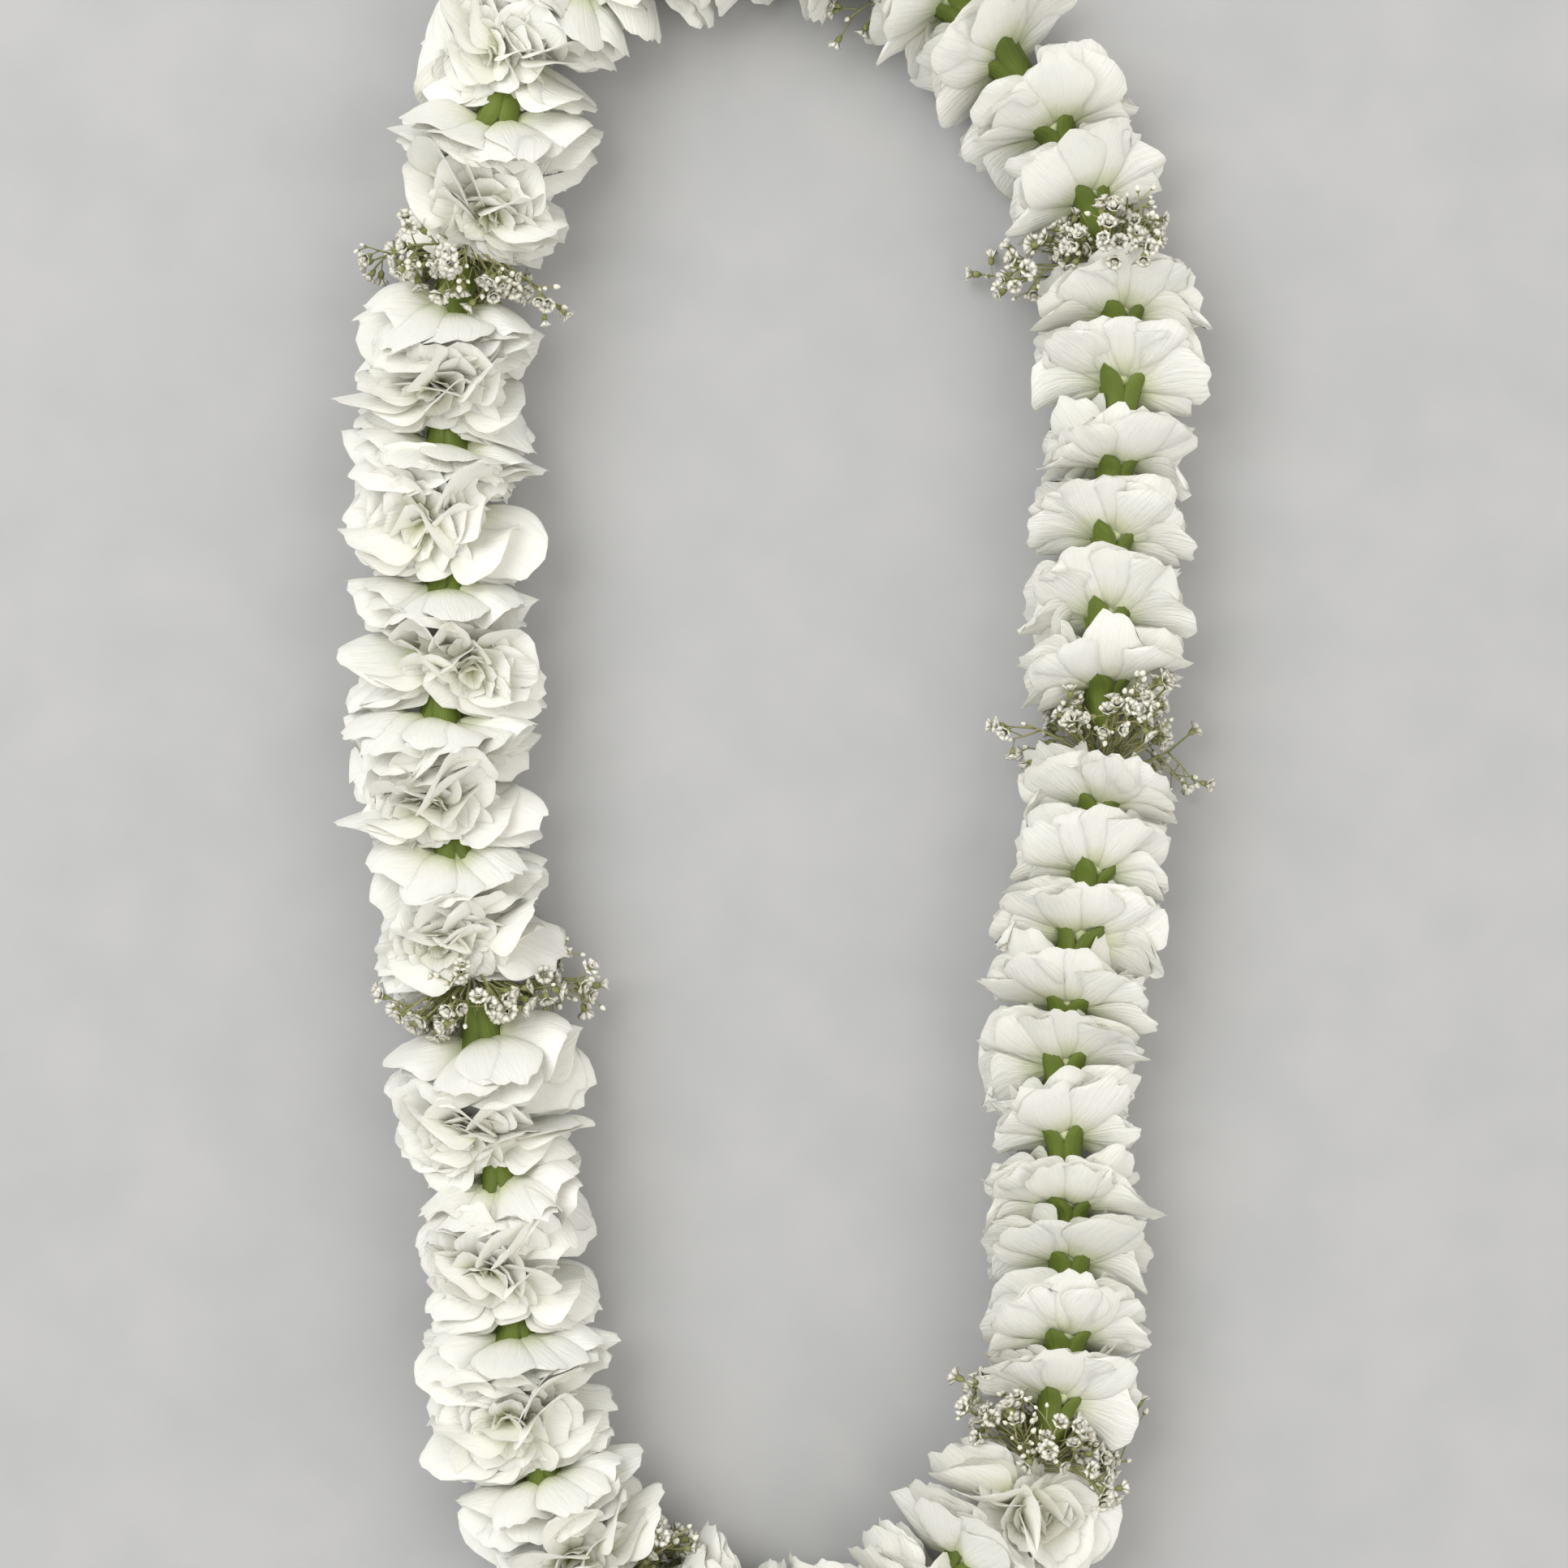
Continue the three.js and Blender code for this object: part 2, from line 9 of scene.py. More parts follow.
import bpy
import numpy as np
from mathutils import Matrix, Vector


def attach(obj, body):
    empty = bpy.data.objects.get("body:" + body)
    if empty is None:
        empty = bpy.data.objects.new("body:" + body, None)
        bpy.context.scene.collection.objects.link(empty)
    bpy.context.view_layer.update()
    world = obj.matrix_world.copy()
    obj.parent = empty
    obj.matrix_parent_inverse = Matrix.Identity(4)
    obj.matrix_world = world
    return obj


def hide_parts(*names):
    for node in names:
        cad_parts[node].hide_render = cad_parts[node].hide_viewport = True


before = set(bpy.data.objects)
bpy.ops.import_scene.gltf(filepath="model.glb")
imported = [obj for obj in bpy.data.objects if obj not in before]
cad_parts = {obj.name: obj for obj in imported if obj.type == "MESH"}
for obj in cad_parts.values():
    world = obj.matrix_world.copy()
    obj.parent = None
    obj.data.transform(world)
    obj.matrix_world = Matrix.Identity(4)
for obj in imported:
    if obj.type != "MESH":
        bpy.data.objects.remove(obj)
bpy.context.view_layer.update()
MM = 0.001
FULL_TURN = 2 * math.pi

# Driving dimensions, as in the solids
THREAD_HEIGHT = 17
CALYX_LENGTH = 10.2
CALYX_TOP = -1.9
PETAL_TIP_ROUND = 0.22
ROOT_RADIUS = 2.5
THREAD_ROUTE = [
    (-3, 213), (-33, 208), (-53, 196), (-65, 181), (-72.6, 157), (-78, 133), (-82.6, 109),
    (-83, 73), (-84, 37), (-84, 1), (-79, -29), (-75, -59), (-71, -91), (-67, -119), (-65, -147),
    (-59, -171), (-45, -193), (-23, -207), (1, -212), (25, -205), (45, -191), (61, -171),
    (68, -147), (70, -119), (69, -83), (70, -53), (75, -27), (78, 1), (79, 25), (80, 53), (82, 85),
    (83, 109), (79, 133), (70, 155), (57, 175), (41, 193), (21, 208),
]
PLAN_CENTRE = (-3.9, -0.3)
STEPS_PER_SPAN = 48
TANGENT_REACH = 1.5

# Each band of baby's breath, and the run of floret pairs after it: (place, how many, how loose)
RUNS = [
    ((-81, 123), 5, 1),
    ((-73, -57), 4, 1),
    ((-33, -202), 3, 0.6),
    ((69, -159), 5, 0),
    ((81, 17), 3, 0),
    ((81, 139), 2, 0.3),
    ((23, 205), 4, 0.8),
]
KNOTTED_RUN = 5
SPRAY_BEHIND = 22
SPRAY_AHEAD = 7

# How the florets vary round the loop, as waves: (how many, how far)
SPACING_WAVES = ((23, 0.9), (37, 0.7))
SLANT_WAVES = ((19, 0.1), (31, 0.08))
NOD_WAVES = ((17, 0.08),)
SIZE_WAVES = ((13, 0.05), (29, 0.04))

# How a floret opens: (tight, loose). Three such pairs are for above, beside and below the thread,
# and leans are degrees off the thread, at a petal's root and at its tip.
OUTER_WIDTH = (19, 20)
OUTER_LENGTH = ((21.5, 23), (17.5, 24.5), (18, 21))
OUTER_LEANS = (((52, 70), (86, 66), (76, 70)), ((16, 40), (106, 42), (70, 46)))
PAIRED_ON_TOP = 0.3 * math.pi
SIDE_TILT = 42
INNER_LENGTH = (15, 16)
INNER_WIDTH = (13, 13.5)
INNER_LEANS = ((36, 40), (50, 62))
CUP_SLOPE = ((1.3, 0.6), (-0.15, 0.3), (0.3, 0.5))
FLORET_REACH = (14.6, 17.4)
OUTER_COUNT = (5, 4)
INNER_COUNT = 2
BAND_BELOW = 5.4
BAND_GAP = 0.7
FACE_UP_EXTRA = 85
TIGHT_BELOW = 0.5
SLIGHTLY_FACING_UP = 0.15

# The petals' own fineness, and how close to the table anything comes
TABLE_GAP = 0.04
PETAL_THICKNESS = 0.34
BIG_GRID = (11, 10)
SMALL_GRID = (9, 7)
HEART_GRID = (7, 6)
# Added petals that point lower than this, 1 being straight up, have the small grid
UNDERSIDE = -0.2

# What each kind of thing adds to its number for its own stream of draws
ADDED_SEED, ROSETTE_SEED, FINISH_SEED, CALYX_SEED, SPRAY_SEED = 5000, 8000, 3000, 7000, 900
WORD = 2 ** 32


def mix(pair, t):
    return pair[0] + (pair[1] - pair[0]) * t


def unit(vectors):
    return vectors / np.linalg.norm(vectors, axis=-1, keepdims=True)


class Stream:
    """A repeatable stream of numbers from 0 to 1."""

    def __init__(self, seed):
        self.state = seed

    def draw(self):
        self.state = (self.state + 0x6D2B79F5) % WORD
        mixed = (self.state ^ (self.state >> 15)) * (self.state | 1) % WORD
        added = (mixed ^ (mixed >> 7)) * (mixed | 61) % WORD
        mixed = ((mixed + added) % WORD) ^ mixed
        return (mixed ^ (mixed >> 14)) / WORD

    def wander(self, amount):
        return (self.draw() * 2 - 1) * amount

    def between(self, low, high):
        return low + (high - low) * self.draw()

    def turn(self):
        return self.draw() * FULL_TURN


# The thread's line, measured along its length
def measure_route():
    points = np.array(THREAD_ROUTE, float) - PLAN_CENTRE
    count = len(points)
    steps = np.arange(count * STEPS_PER_SPAN + 1)
    span = steps // STEPS_PER_SPAN
    t = ((steps % STEPS_PER_SPAN) / STEPS_PER_SPAN)[:, None]
    before, start, end, after = (points[(span + shift) % count] for shift in (-1, 0, 1, 2))
    at = 0.5 * (
        2 * start + (end - before) * t
        + (2 * before - 5 * start + 4 * end - after) * t ** 2
        + (3 * start - before - 3 * end + after) * t ** 3
    )
    strides = np.linalg.norm(np.diff(at, axis=0), axis=1)
    return at, np.concatenate([[0], np.cumsum(strides)])


ROUTE_AT, ROUTE_TRAVELLED = measure_route()
ROUTE_LENGTH = ROUTE_TRAVELLED[-1]


def on_route(along):
    wrapped = np.mod(along, ROUTE_LENGTH)
    return np.stack([np.interp(wrapped, ROUTE_TRAVELLED, line) for line in ROUTE_AT.T], axis=-1)


def nearest_on_route(place):
    distance = np.linalg.norm(ROUTE_AT - (np.array(place) - PLAN_CENTRE), axis=1)
    return ROUTE_TRAVELLED[np.argmin(distance)]


def waves(pairs, along):
    return sum(reach * np.sin(FULL_TURN * count * along / ROUTE_LENGTH + count) for count, reach in pairs)


def around_thread(radius, angle, along):
    """Points in strand space: x towards the loop's inside, y up, z along the thread."""
    parts = np.broadcast_arrays(radius * np.cos(angle), radius * np.sin(angle), along)
    return np.stack(parts, axis=-1)


def lay_out(points):
    """Strand space to the table, with z up."""
    x, y, z = np.moveaxis(points, -1, 0)
    slant = waves(SLANT_WAVES, z) * x + waves(NOD_WAVES, z) * np.maximum(0, y)
    along = z + waves(SPACING_WAVES, z) + slant
    size = 1 + waves(SIZE_WAVES, z)
    tangent = unit(on_route(along + TANGENT_REACH) - on_route(along - TANGENT_REACH))
    inward = np.stack([-tangent[..., 1], tangent[..., 0]], axis=-1)
    plan = on_route(along) + inward * (size * x)[..., None]
    height = THREAD_HEIGHT + np.where(y > 0, size, 1) * y
    return np.concatenate([plan, height[..., None]], axis=-1)


# Every floret's place on the thread, run by run
@dataclass
class Floret:
    along: float
    seed: int
    looseness: float
    face_up: float
    band: tuple

    @property
    def tight(self):
        return self.looseness < TIGHT_BELOW

    @property
    def is_rosette(self):
        return self.face_up == 1


def string_florets():
    centres = [nearest_on_route(place) for place, _, _ in RUNS]
    seed = 1
    strung = []
    for number, (_, pairs, looseness) in enumerate(RUNS):
        start = centres[number] + SPRAY_AHEAD
        end = centres[(number + 1) % len(RUNS)] - SPRAY_BEHIND
        if end < start:
            end += ROUTE_LENGTH
        spacing = (end - start) / (2 * pairs - 1)
        florets = []
        for i in range(2 * pairs):
            along = start + i * spacing
            low = along - (i % 2) * spacing - BAND_BELOW
            seed += 1
            florets.append(Floret(
                along=along, seed=seed, looseness=looseness,
                face_up=1 if looseness > TIGHT_BELOW and i % 2 == 1 else SLIGHTLY_FACING_UP,
                band=(low, low + 2 * spacing - BAND_GAP)))
        strung.append(florets)
    return strung


# Petals
@dataclass
class Petal:
    azimuth: float
    length: float
    width: float
    leans: tuple
    tilt: float
    root: tuple
    cup: float
    ruffle: float
    phase: float
    notch: float
    twist: float = 0.2
    route: tuple = None
    depth: float = 0
    pointed: float = 0
    tip_round: float = PETAL_TIP_ROUND
    curl: float = 0
    crease: float = 0
    ripple: float = 0
    frill: float = 0
    tint: float = 0
    inset: float = 0
    face: tuple = None
    grid: tuple = BIG_GRID


def round_thread(upright, table, looseness):
    """A value between those above, beside and below the thread; upright is 1 above and -1 below."""
    top, side, bottom = (mix(pair, looseness) for pair in table)
    end = np.where(upright > 0, top, bottom)
    return side + (end - side) * np.abs(upright)


def natural_shape(outer, upright, looseness):
    """A petal's length, width and two leans, by its direction off the thread."""
    if not outer:
        return [mix(pair, looseness) for pair in (INNER_LENGTH, INNER_WIDTH, *INNER_LEANS)]
    length, *leans = (
        float(round_thread(upright, table, looseness)) for table in (OUTER_LENGTH, *OUTER_LEANS))
    return [length, mix(OUTER_WIDTH, looseness), *leans]


def face_up_pitch(floret, upright, outer):
    """How much further a petal above the thread opens where its floret faces up."""
    pitch = floret.face_up * FACE_UP_EXTRA * max(0, upright)
    return pitch if outer else 0.6 * pitch


def opened(leans, opening):
    """A petal's leans at its root and its tip, opened by some degrees at the tip."""
    return leans[0] + 0.5 * opening, leans[1] + opening


def solid_petals(floret):
    """The petals that the solids have too, from the same draws."""
    stream = Stream(floret.seed)
    turn = PAIRED_ON_TOP + stream.wander(0.25) if floret.tight else stream.turn()

    def petal(outer, index, count):
        azimuth = turn + (index + (0 if outer else 0.5)) * FULL_TURN / count + stream.wander(0.14)
        upright = math.sin(azimuth)
        length, width, *leans = natural_shape(outer, upright, floret.looseness)
        opening = stream.wander(8 if outer else 5) + face_up_pitch(floret, upright, outer)
        return Petal(
            azimuth=azimuth, length=length * (1 + stream.wander(0.09)),
            width=width * (1 + stream.wander(0.1)), leans=opened(leans, opening),
            tilt=SIDE_TILT * math.cos(azimuth), root=(ROOT_RADIUS, -0.3 if outer else 1.1),
            cup=0.24 + stream.wander(0.08), ruffle=0.5 + stream.wander(0.3),
            phase=stream.turn(), notch=0.07 + stream.wander(0.04),
            depth=0 if outer else 0.55, grid=BIG_GRID if outer else SMALL_GRID)

    outer_count = OUTER_COUNT[0 if floret.tight else 1]
    outer = [petal(True, i, outer_count) for i in range(outer_count)]
    inner = [petal(False, i, INNER_COUNT) for i in range(INNER_COUNT)]
    return outer, inner


def controls(petal):
    """The middle line's three control points, in the plane through the thread."""
    if petal.route:
        return petal.route
    first, last = (math.radians(lean) for lean in petal.leans)
    half = petal.length / 2
    bend = (petal.root[0] + half * math.sin(first), petal.root[1] + half * math.cos(first))
    return petal.root, bend, (bend[0] + half * math.sin(last), bend[1] + half * math.cos(last))


def middle_line(petal, along):
    """Where the middle line is and where it heads: radius, forward, outward, onward."""
    start, bend, end = (np.array(point)[:, None] for point in controls(petal))
    flat = np.ravel(along)
    left = 1 - flat
    at = left ** 2 * start + 2 * left * flat * bend + flat ** 2 * end
    slope = left * (bend - start) + flat * (end - bend)
    slope = slope / np.hypot(*slope)
    return [part.reshape(np.shape(along)) for part in (*at, *slope)]


# With the tip this round, the sides run into it without a corner
TIP_NARROWING = 0.15


def spread(u, pointed):
    """Half the petal's width along its length, as a share of the widest."""
    widest = 0.72 - 0.2 * pointed
    claw = 0.22 + 0.78 * np.sin(np.minimum(u / widest, 1) * math.pi / 2) ** 1.2
    past = np.maximum(0, (u - widest) / (1 - widest))
    return claw - (TIP_NARROWING + 0.65 * pointed) * past ** 2


def soft_limit(value, low, high, ease):
    """Keeps a value between two limits, and eases it as it nears one."""
    over = np.maximum(0, value - (high - ease))
    value = np.where(over > 0, high - ease * np.exp(-over / ease), value)
    under = np.maximum(0, low + ease - value)
    return np.where(under > 0, low + ease * np.exp(-under / ease), value)


BAND_EASE = 3.2


def keep_in_band(points, floret, inset):
    """Each pair of florets keeps to its own cup-shaped stretch of the strand."""
    radius = np.hypot(points[..., 0], points[..., 1])
    upright = points[..., 1] / np.maximum(radius, 1e-6)
    slope = round_thread(upright, CUP_SLOPE, floret.looseness)
    cupped = slope * np.maximum(0, radius - ROOT_RADIUS)
    low, high = floret.band
    ease = BAND_EASE * min(1, 0.35 + max(0, inset))
    kept = soft_limit(points[..., 2] - cupped, low + inset, high - inset, ease)
    points[..., 2] = kept + cupped


REST_ROOM = 0.9
REST_HEIGHT = 0.35


def settle(points, looseness, lie=0.0):
    """The lei's own weight presses its underside: what would reach below the table lies on it."""
    y = points[..., 1]
    depth = np.maximum(0, -y) * THREAD_HEIGHT / mix(FLORET_REACH, looseness)
    rest = THREAD_HEIGHT - REST_HEIGHT - REST_ROOM - lie
    over = np.maximum(0, depth - rest)
    depth = np.minimum(depth, rest) + REST_ROOM * (1 - np.exp(-over / REST_ROOM))
    points[..., 1] = np.where(y < 0, -depth, y)


def faced(points, place, pitch, yaw):
    """Points about the thread moved to another place, their axis pitched up and turned sideways."""
    forward = np.array([math.sin(yaw) * math.cos(pitch), math.sin(pitch), math.cos(yaw) * math.cos(pitch)])
    inward = np.array([math.cos(yaw), 0, -math.sin(yaw)])
    up = np.cross(forward, inward)
    return np.array(place) + points @ np.stack([inward, up, forward])


def blade_grid(grid):
    """How far along a blade each point of its grid is, from 0 to 1, and across it, from -1 to 1."""
    rows, columns = grid
    return np.meshgrid(np.linspace(0, 1, rows), np.linspace(-1, 1, columns), indexing="ij")


def petal_surface(petal, floret):
    """The petal's middle surface, laid out on the table, as a grid of points."""
    u, v = blade_grid(petal.grid)
    notch = petal.notch * u ** 3 * np.exp(-((v / 0.25) ** 2))
    frill = petal.frill * u ** 4 * np.sin(9 * v + 2 * petal.phase)
    line_at = u - petal.tip_round * u * u * v * v - notch - frill
    radius, forward, outward, onward = middle_line(petal, line_at)
    half = petal.width / 2 * spread(u, petal.pointed) * (1 + petal.frill * np.sin(11 * u + petal.phase))
    tilt = math.radians(petal.tilt)
    wave = (
        petal.ruffle * u * u * np.sin(3.2 * v + petal.phase)
        + petal.ripple * u ** 1.5 * np.sin(7.3 * v + 3 * u + 2.3 * petal.phase)
        - petal.curl * np.maximum(0, (u - 0.55) / 0.45) ** 2)
    crease = petal.crease * (np.sqrt(v * v + 0.01) - 0.1)
    rise = half * (petal.cup * v * v + petal.twist * v * u + math.sin(tilt) * v + crease) + wave
    radius = radius - onward * rise
    forward = forward + outward * rise
    across = half * v * math.cos(tilt)
    cosine, sine = math.cos(petal.azimuth), math.sin(petal.azimuth)
    points = np.stack([radius * cosine - across * sine, radius * sine + across * cosine, forward], axis=-1)
    if petal.face:
        points = faced(points, *petal.face)
    points[..., 2] += floret.along
    keep_in_band(points, floret, petal.inset)
    settle(points, floret.looseness, petal.inset)
    return lay_out(points), u, v


# The petals that the solids leave out, layer by layer, from the outside in.
# Lengths and widths are shares of the solids' own, and places are directions off the thread in degrees:
# 90 is straight above it and 0 is the loop's inside. A layer has its own leans, or as many degrees
# beyond the solids' as its lean says. Its petals' roots are a radius off the thread, and forward along it.
# A row gives its places, length, width and forward, and then what differs from the usual.
@dataclass
class Layer:
    places: tuple
    length: float
    width: float
    forward: float
    radius: float = ROOT_RADIUS
    outer: bool = True
    lean: float = 0
    depth: float = 0
    scatter: float = 0.25
    ruffle: float = 0.6
    curl: float = 0.8
    pointed: float = 0.08
    turns: bool = True
    leans: tuple = None
    tilt: float = SIDE_TILT
    inset: tuple = (0.1, 1.4)
    grid: tuple = BIG_GRID


LOOSE_TILT = 58
TIGHT_LAYERS = [
    Layer((-16, 196), 1.0, 1.05, -1.1, leans=(124, 98), scatter=0.14,
          curl=0.5, pointed=0, turns=False, inset=(0, 0.3)),
    Layer((-28, 208), 1.0, 1.1, 0.5, leans=(48, 44), scatter=0.12,
          curl=0.3, pointed=0, turns=False, inset=(0, 0.3)),
    Layer((5, 175), 1.08, 0.78, -1.0, lean=12, curl=1.8, pointed=0.5),
    Layer((30, 150), 1.02, 0.95, -0.6, lean=-8, scatter=0.15, curl=1.0,
          pointed=0),
    Layer((8, 172), 1.08, 1.0, -0.1, lean=-46, scatter=0.2, pointed=0.1),
    Layer((225, 270, 315), 0.95, 0.9, -0.7, lean=4),
    Layer((205, 245, 295, 335), 1.08, 1.0, 0.1, lean=-34, scatter=0.2),
    Layer((42, 90, 138), 0.98, 0.9, 0.5, lean=2, depth=0.15, scatter=0.15,
          curl=1.0),
    Layer((30, 150, 270), 0.95, 0.9, 1.3, radius=2.2, outer=False, lean=2,
          depth=0.6, ruffle=0.8, grid=SMALL_GRID),
    Layer((0, 90, 180, 270), 0.68, 0.62, 1.8, radius=1.7, outer=False,
          lean=-14, depth=1, scatter=0.6, ruffle=0.9, curl=0.4, grid=HEART_GRID),
]
LOOSE_LAYERS = [
    Layer((-12, 28, 152, 192), 0.95, 0.95, -0.3, leans=(101, 84),
          scatter=0.2, curl=0.6, pointed=0, turns=False, tilt=50, inset=(-3.5, -0.8)),
    Layer((45, 135, 225, 315), 0.97, 1.0, -0.7, lean=8, curl=1.4,
          tilt=LOOSE_TILT, inset=(-1.5, 1)),
    Layer((18, 90, 162, 234, 306), 0.92, 0.85, -1.0, lean=22, scatter=0.5,
          curl=1.8, tilt=LOOSE_TILT),
    Layer((0, 60, 120, 180, 240, 300), 0.95, 0.98, 0.5, lean=-8,
          depth=0.15, curl=1.0, tilt=LOOSE_TILT),
    Layer((30, 102, 174, 246, 318), 0.86, 0.86, 0.9, lean=-22, depth=0.35,
          scatter=0.3, tilt=LOOSE_TILT),
    Layer((9, 99, 189, 279), 0.95, 0.9, 1.3, radius=2.2, outer=False,
          lean=2, depth=0.6, scatter=0.4, ruffle=0.8, grid=SMALL_GRID),
    Layer((0, 90, 180, 270), 0.72, 0.66, 1.8, radius=1.7, outer=False,
          lean=-14, depth=1, scatter=0.6, ruffle=0.9, curl=0.4, grid=HEART_GRID),
]
FACE_UP_LAYERS = [
    Layer((35, 90, 145), 0.95, 0.95, -0.4, lean=-6, scatter=0.3, curl=1.2,
          tilt=LOOSE_TILT),
    Layer((66, 114), 0.66, 0.9, -0.5, leans=(36, 22), scatter=0.15,
          curl=0.4, pointed=0, turns=False, inset=(-1, 0.3)),
    Layer((-15, 195, 240, 300), 0.97, 1.0, -0.7, lean=8, curl=1.4,
          tilt=LOOSE_TILT),
    Layer((0, 180, 215, 250, 290, 325), 0.98, 1.0, 0.2, lean=-20,
          scatter=0.2, curl=1.0, turns=False),
    Layer((-24, 204, 240, 300), 0.92, 1.0, 0.6, leans=(52, 52),
          scatter=0.15, curl=0.6, turns=False, inset=(-0.6, 0.2)),
    Layer((-4, 22, 158, 184), 0.8, 0.95, 0.8, leans=(44, 58),
          scatter=0.18, turns=False, inset=(-1.5, 0.2)),
]


def layers_of(floret):
    if floret.tight:
        return TIGHT_LAYERS
    return FACE_UP_LAYERS if floret.is_rosette else LOOSE_LAYERS


def layer_petal(layer, place, turn, floret, stream):
    azimuth = layer.turns * turn + math.radians(place) + stream.wander(layer.scatter)
    upright = math.sin(azimuth)
    length, width, *leans = natural_shape(layer.outer, upright, floret.looseness)
    opening = layer.lean + stream.wander(7) + face_up_pitch(floret, upright, layer.outer)
    pointed = stream.between(0.5, 1) if stream.draw() < layer.pointed else stream.between(0, 0.2)
    return Petal(
        azimuth=azimuth, length=length * layer.length * (1 + stream.wander(0.1)),
        width=width * layer.width * (1 + stream.wander(0.12)) * (1 - 0.3 * pointed),
        leans=opened(layer.leans or leans, opening), root=(layer.radius, layer.forward),
        tilt=layer.tilt * math.cos(azimuth) + stream.wander(12),
        cup=0.2 + stream.wander(0.14), ruffle=layer.ruffle + stream.wander(0.3),
        phase=stream.turn(), notch=0.05 + stream.wander(0.04), twist=stream.wander(0.3),
        depth=layer.depth, pointed=pointed, tip_round=stream.between(0.18, 0.26),
        curl=layer.curl * stream.between(0.3, 1.4), inset=stream.between(*layer.inset),
        grid=SMALL_GRID if upright < UNDERSIDE else layer.grid)


def added_petals(floret):
    stream = Stream(ADDED_SEED + floret.seed)
    turn = stream.wander(0.3) if floret.tight else stream.turn()
    return [
        layer_petal(layer, place, turn, floret, stream)
        for layer in layers_of(floret) for place in layer.places
    ]


CREASED_SHARE = 0.2
TOOTHED_SHARE = 0.14


def finished(petal, stream):
    """The fine waves and tint that every petal has, the solids' own ones too."""
    crease = stream.between(0.2, 0.55) if stream.draw() < CREASED_SHARE else 0
    frill = stream.between(0.025, 0.05) if stream.draw() < TOOTHED_SHARE else stream.between(0.004, 0.02)
    return replace(
        petal, ripple=stream.between(0.1, 0.4), frill=frill, crease=crease,
        tint=stream.draw(), curl=petal.curl or stream.between(0.2, 1.4))


# A floret that faces up is a rosette: rings of (count, length, width, leans, root, depth, grid)
ROSETTE_RINGS = [
    (5, 15.5, 15.0, (98, 112), 2.0, 0.05, SMALL_GRID),
    (5, 16.5, 17.0, (82, 88), 1.8, 0.05, BIG_GRID),
    (6, 14.0, 14.0, (72, 76), 1.5, 0.2, BIG_GRID),
    (6, 11.5, 11.5, (60, 60), 1.2, 0.4, SMALL_GRID),
    (5, 9.0, 9.0, (46, 38), 0.8, 0.7, SMALL_GRID),
    (4, 6.5, 7.0, (30, 6), 0.4, 1.0, HEART_GRID),
]
ROSETTE_OUTSIDE_SHARE = 0.65


def rosette_petal(ring, index, turn, face, stream):
    count, length, width, leans, root, depth, grid = ring
    opening = stream.wander(9)
    return Petal(
        azimuth=turn + (index + stream.wander(0.18)) * FULL_TURN / count,
        length=length * (1 + stream.wander(0.12)), width=width * (1 + stream.wander(0.12)),
        leans=opened(leans, opening), tilt=stream.wander(13), root=(root, 0),
        cup=0.26 + stream.wander(0.14), ruffle=0.5 + stream.wander(0.3), phase=stream.turn(),
        notch=0.07 + stream.wander(0.05), twist=stream.wander(0.25), depth=depth,
        curl=stream.between(-0.4, 0.9), tip_round=stream.between(0.18, 0.28),
        inset=stream.between(-2.4, 0.4), face=face, grid=grid)


def rosette_petals(floret):
    stream = Stream(ROSETTE_SEED + floret.seed)
    side = -1 if stream.draw() < ROSETTE_OUTSIDE_SHARE else 1
    place = (side * stream.between(2, 7), stream.between(4, 7), stream.between(0, 2.5))
    face = (place, math.radians(stream.between(50, 72)), side * stream.between(0.1, 0.6))
    petals = []
    for ring in ROSETTE_RINGS:
        turn = stream.turn()
        petals += [rosette_petal(ring, index, turn, face, stream) for index in range(ring[0])]
    return petals


# Where along the petal behind it a fallen petal's tip lies, and how far past its middle surface
LAID_AT = 0.72
LAID_PAST = 1.8


def lowest(petals):
    return min(petals, key=lambda petal: math.sin(petal.azimuth))


def fall_back(petal, floret, behind, support):
    """The second floret's petal that lies back on one of the floret behind."""
    radius, forward, outward, onward = (float(part) for part in middle_line(support, LAID_AT))
    ahead = forward + behind.along - floret.along
    tip = (radius + LAID_PAST * onward, ahead - LAID_PAST * outward)
    bend = (0.62 * radius + 1.5, 1.4)
    return replace(petal, azimuth=support.azimuth, route=(petal.root, bend, tip), width=0.8 * petal.width)


# Mesh making
def square_to(axis, lead):
    """Two directions square to an axis and to each other; the lead is any direction not along it."""
    side = unit(np.cross(axis, lead))
    return side, np.cross(axis, side)


def new_object(name, data):
    holder = bpy.data.objects.new(name, data)
    bpy.context.scene.collection.objects.link(holder)
    return holder


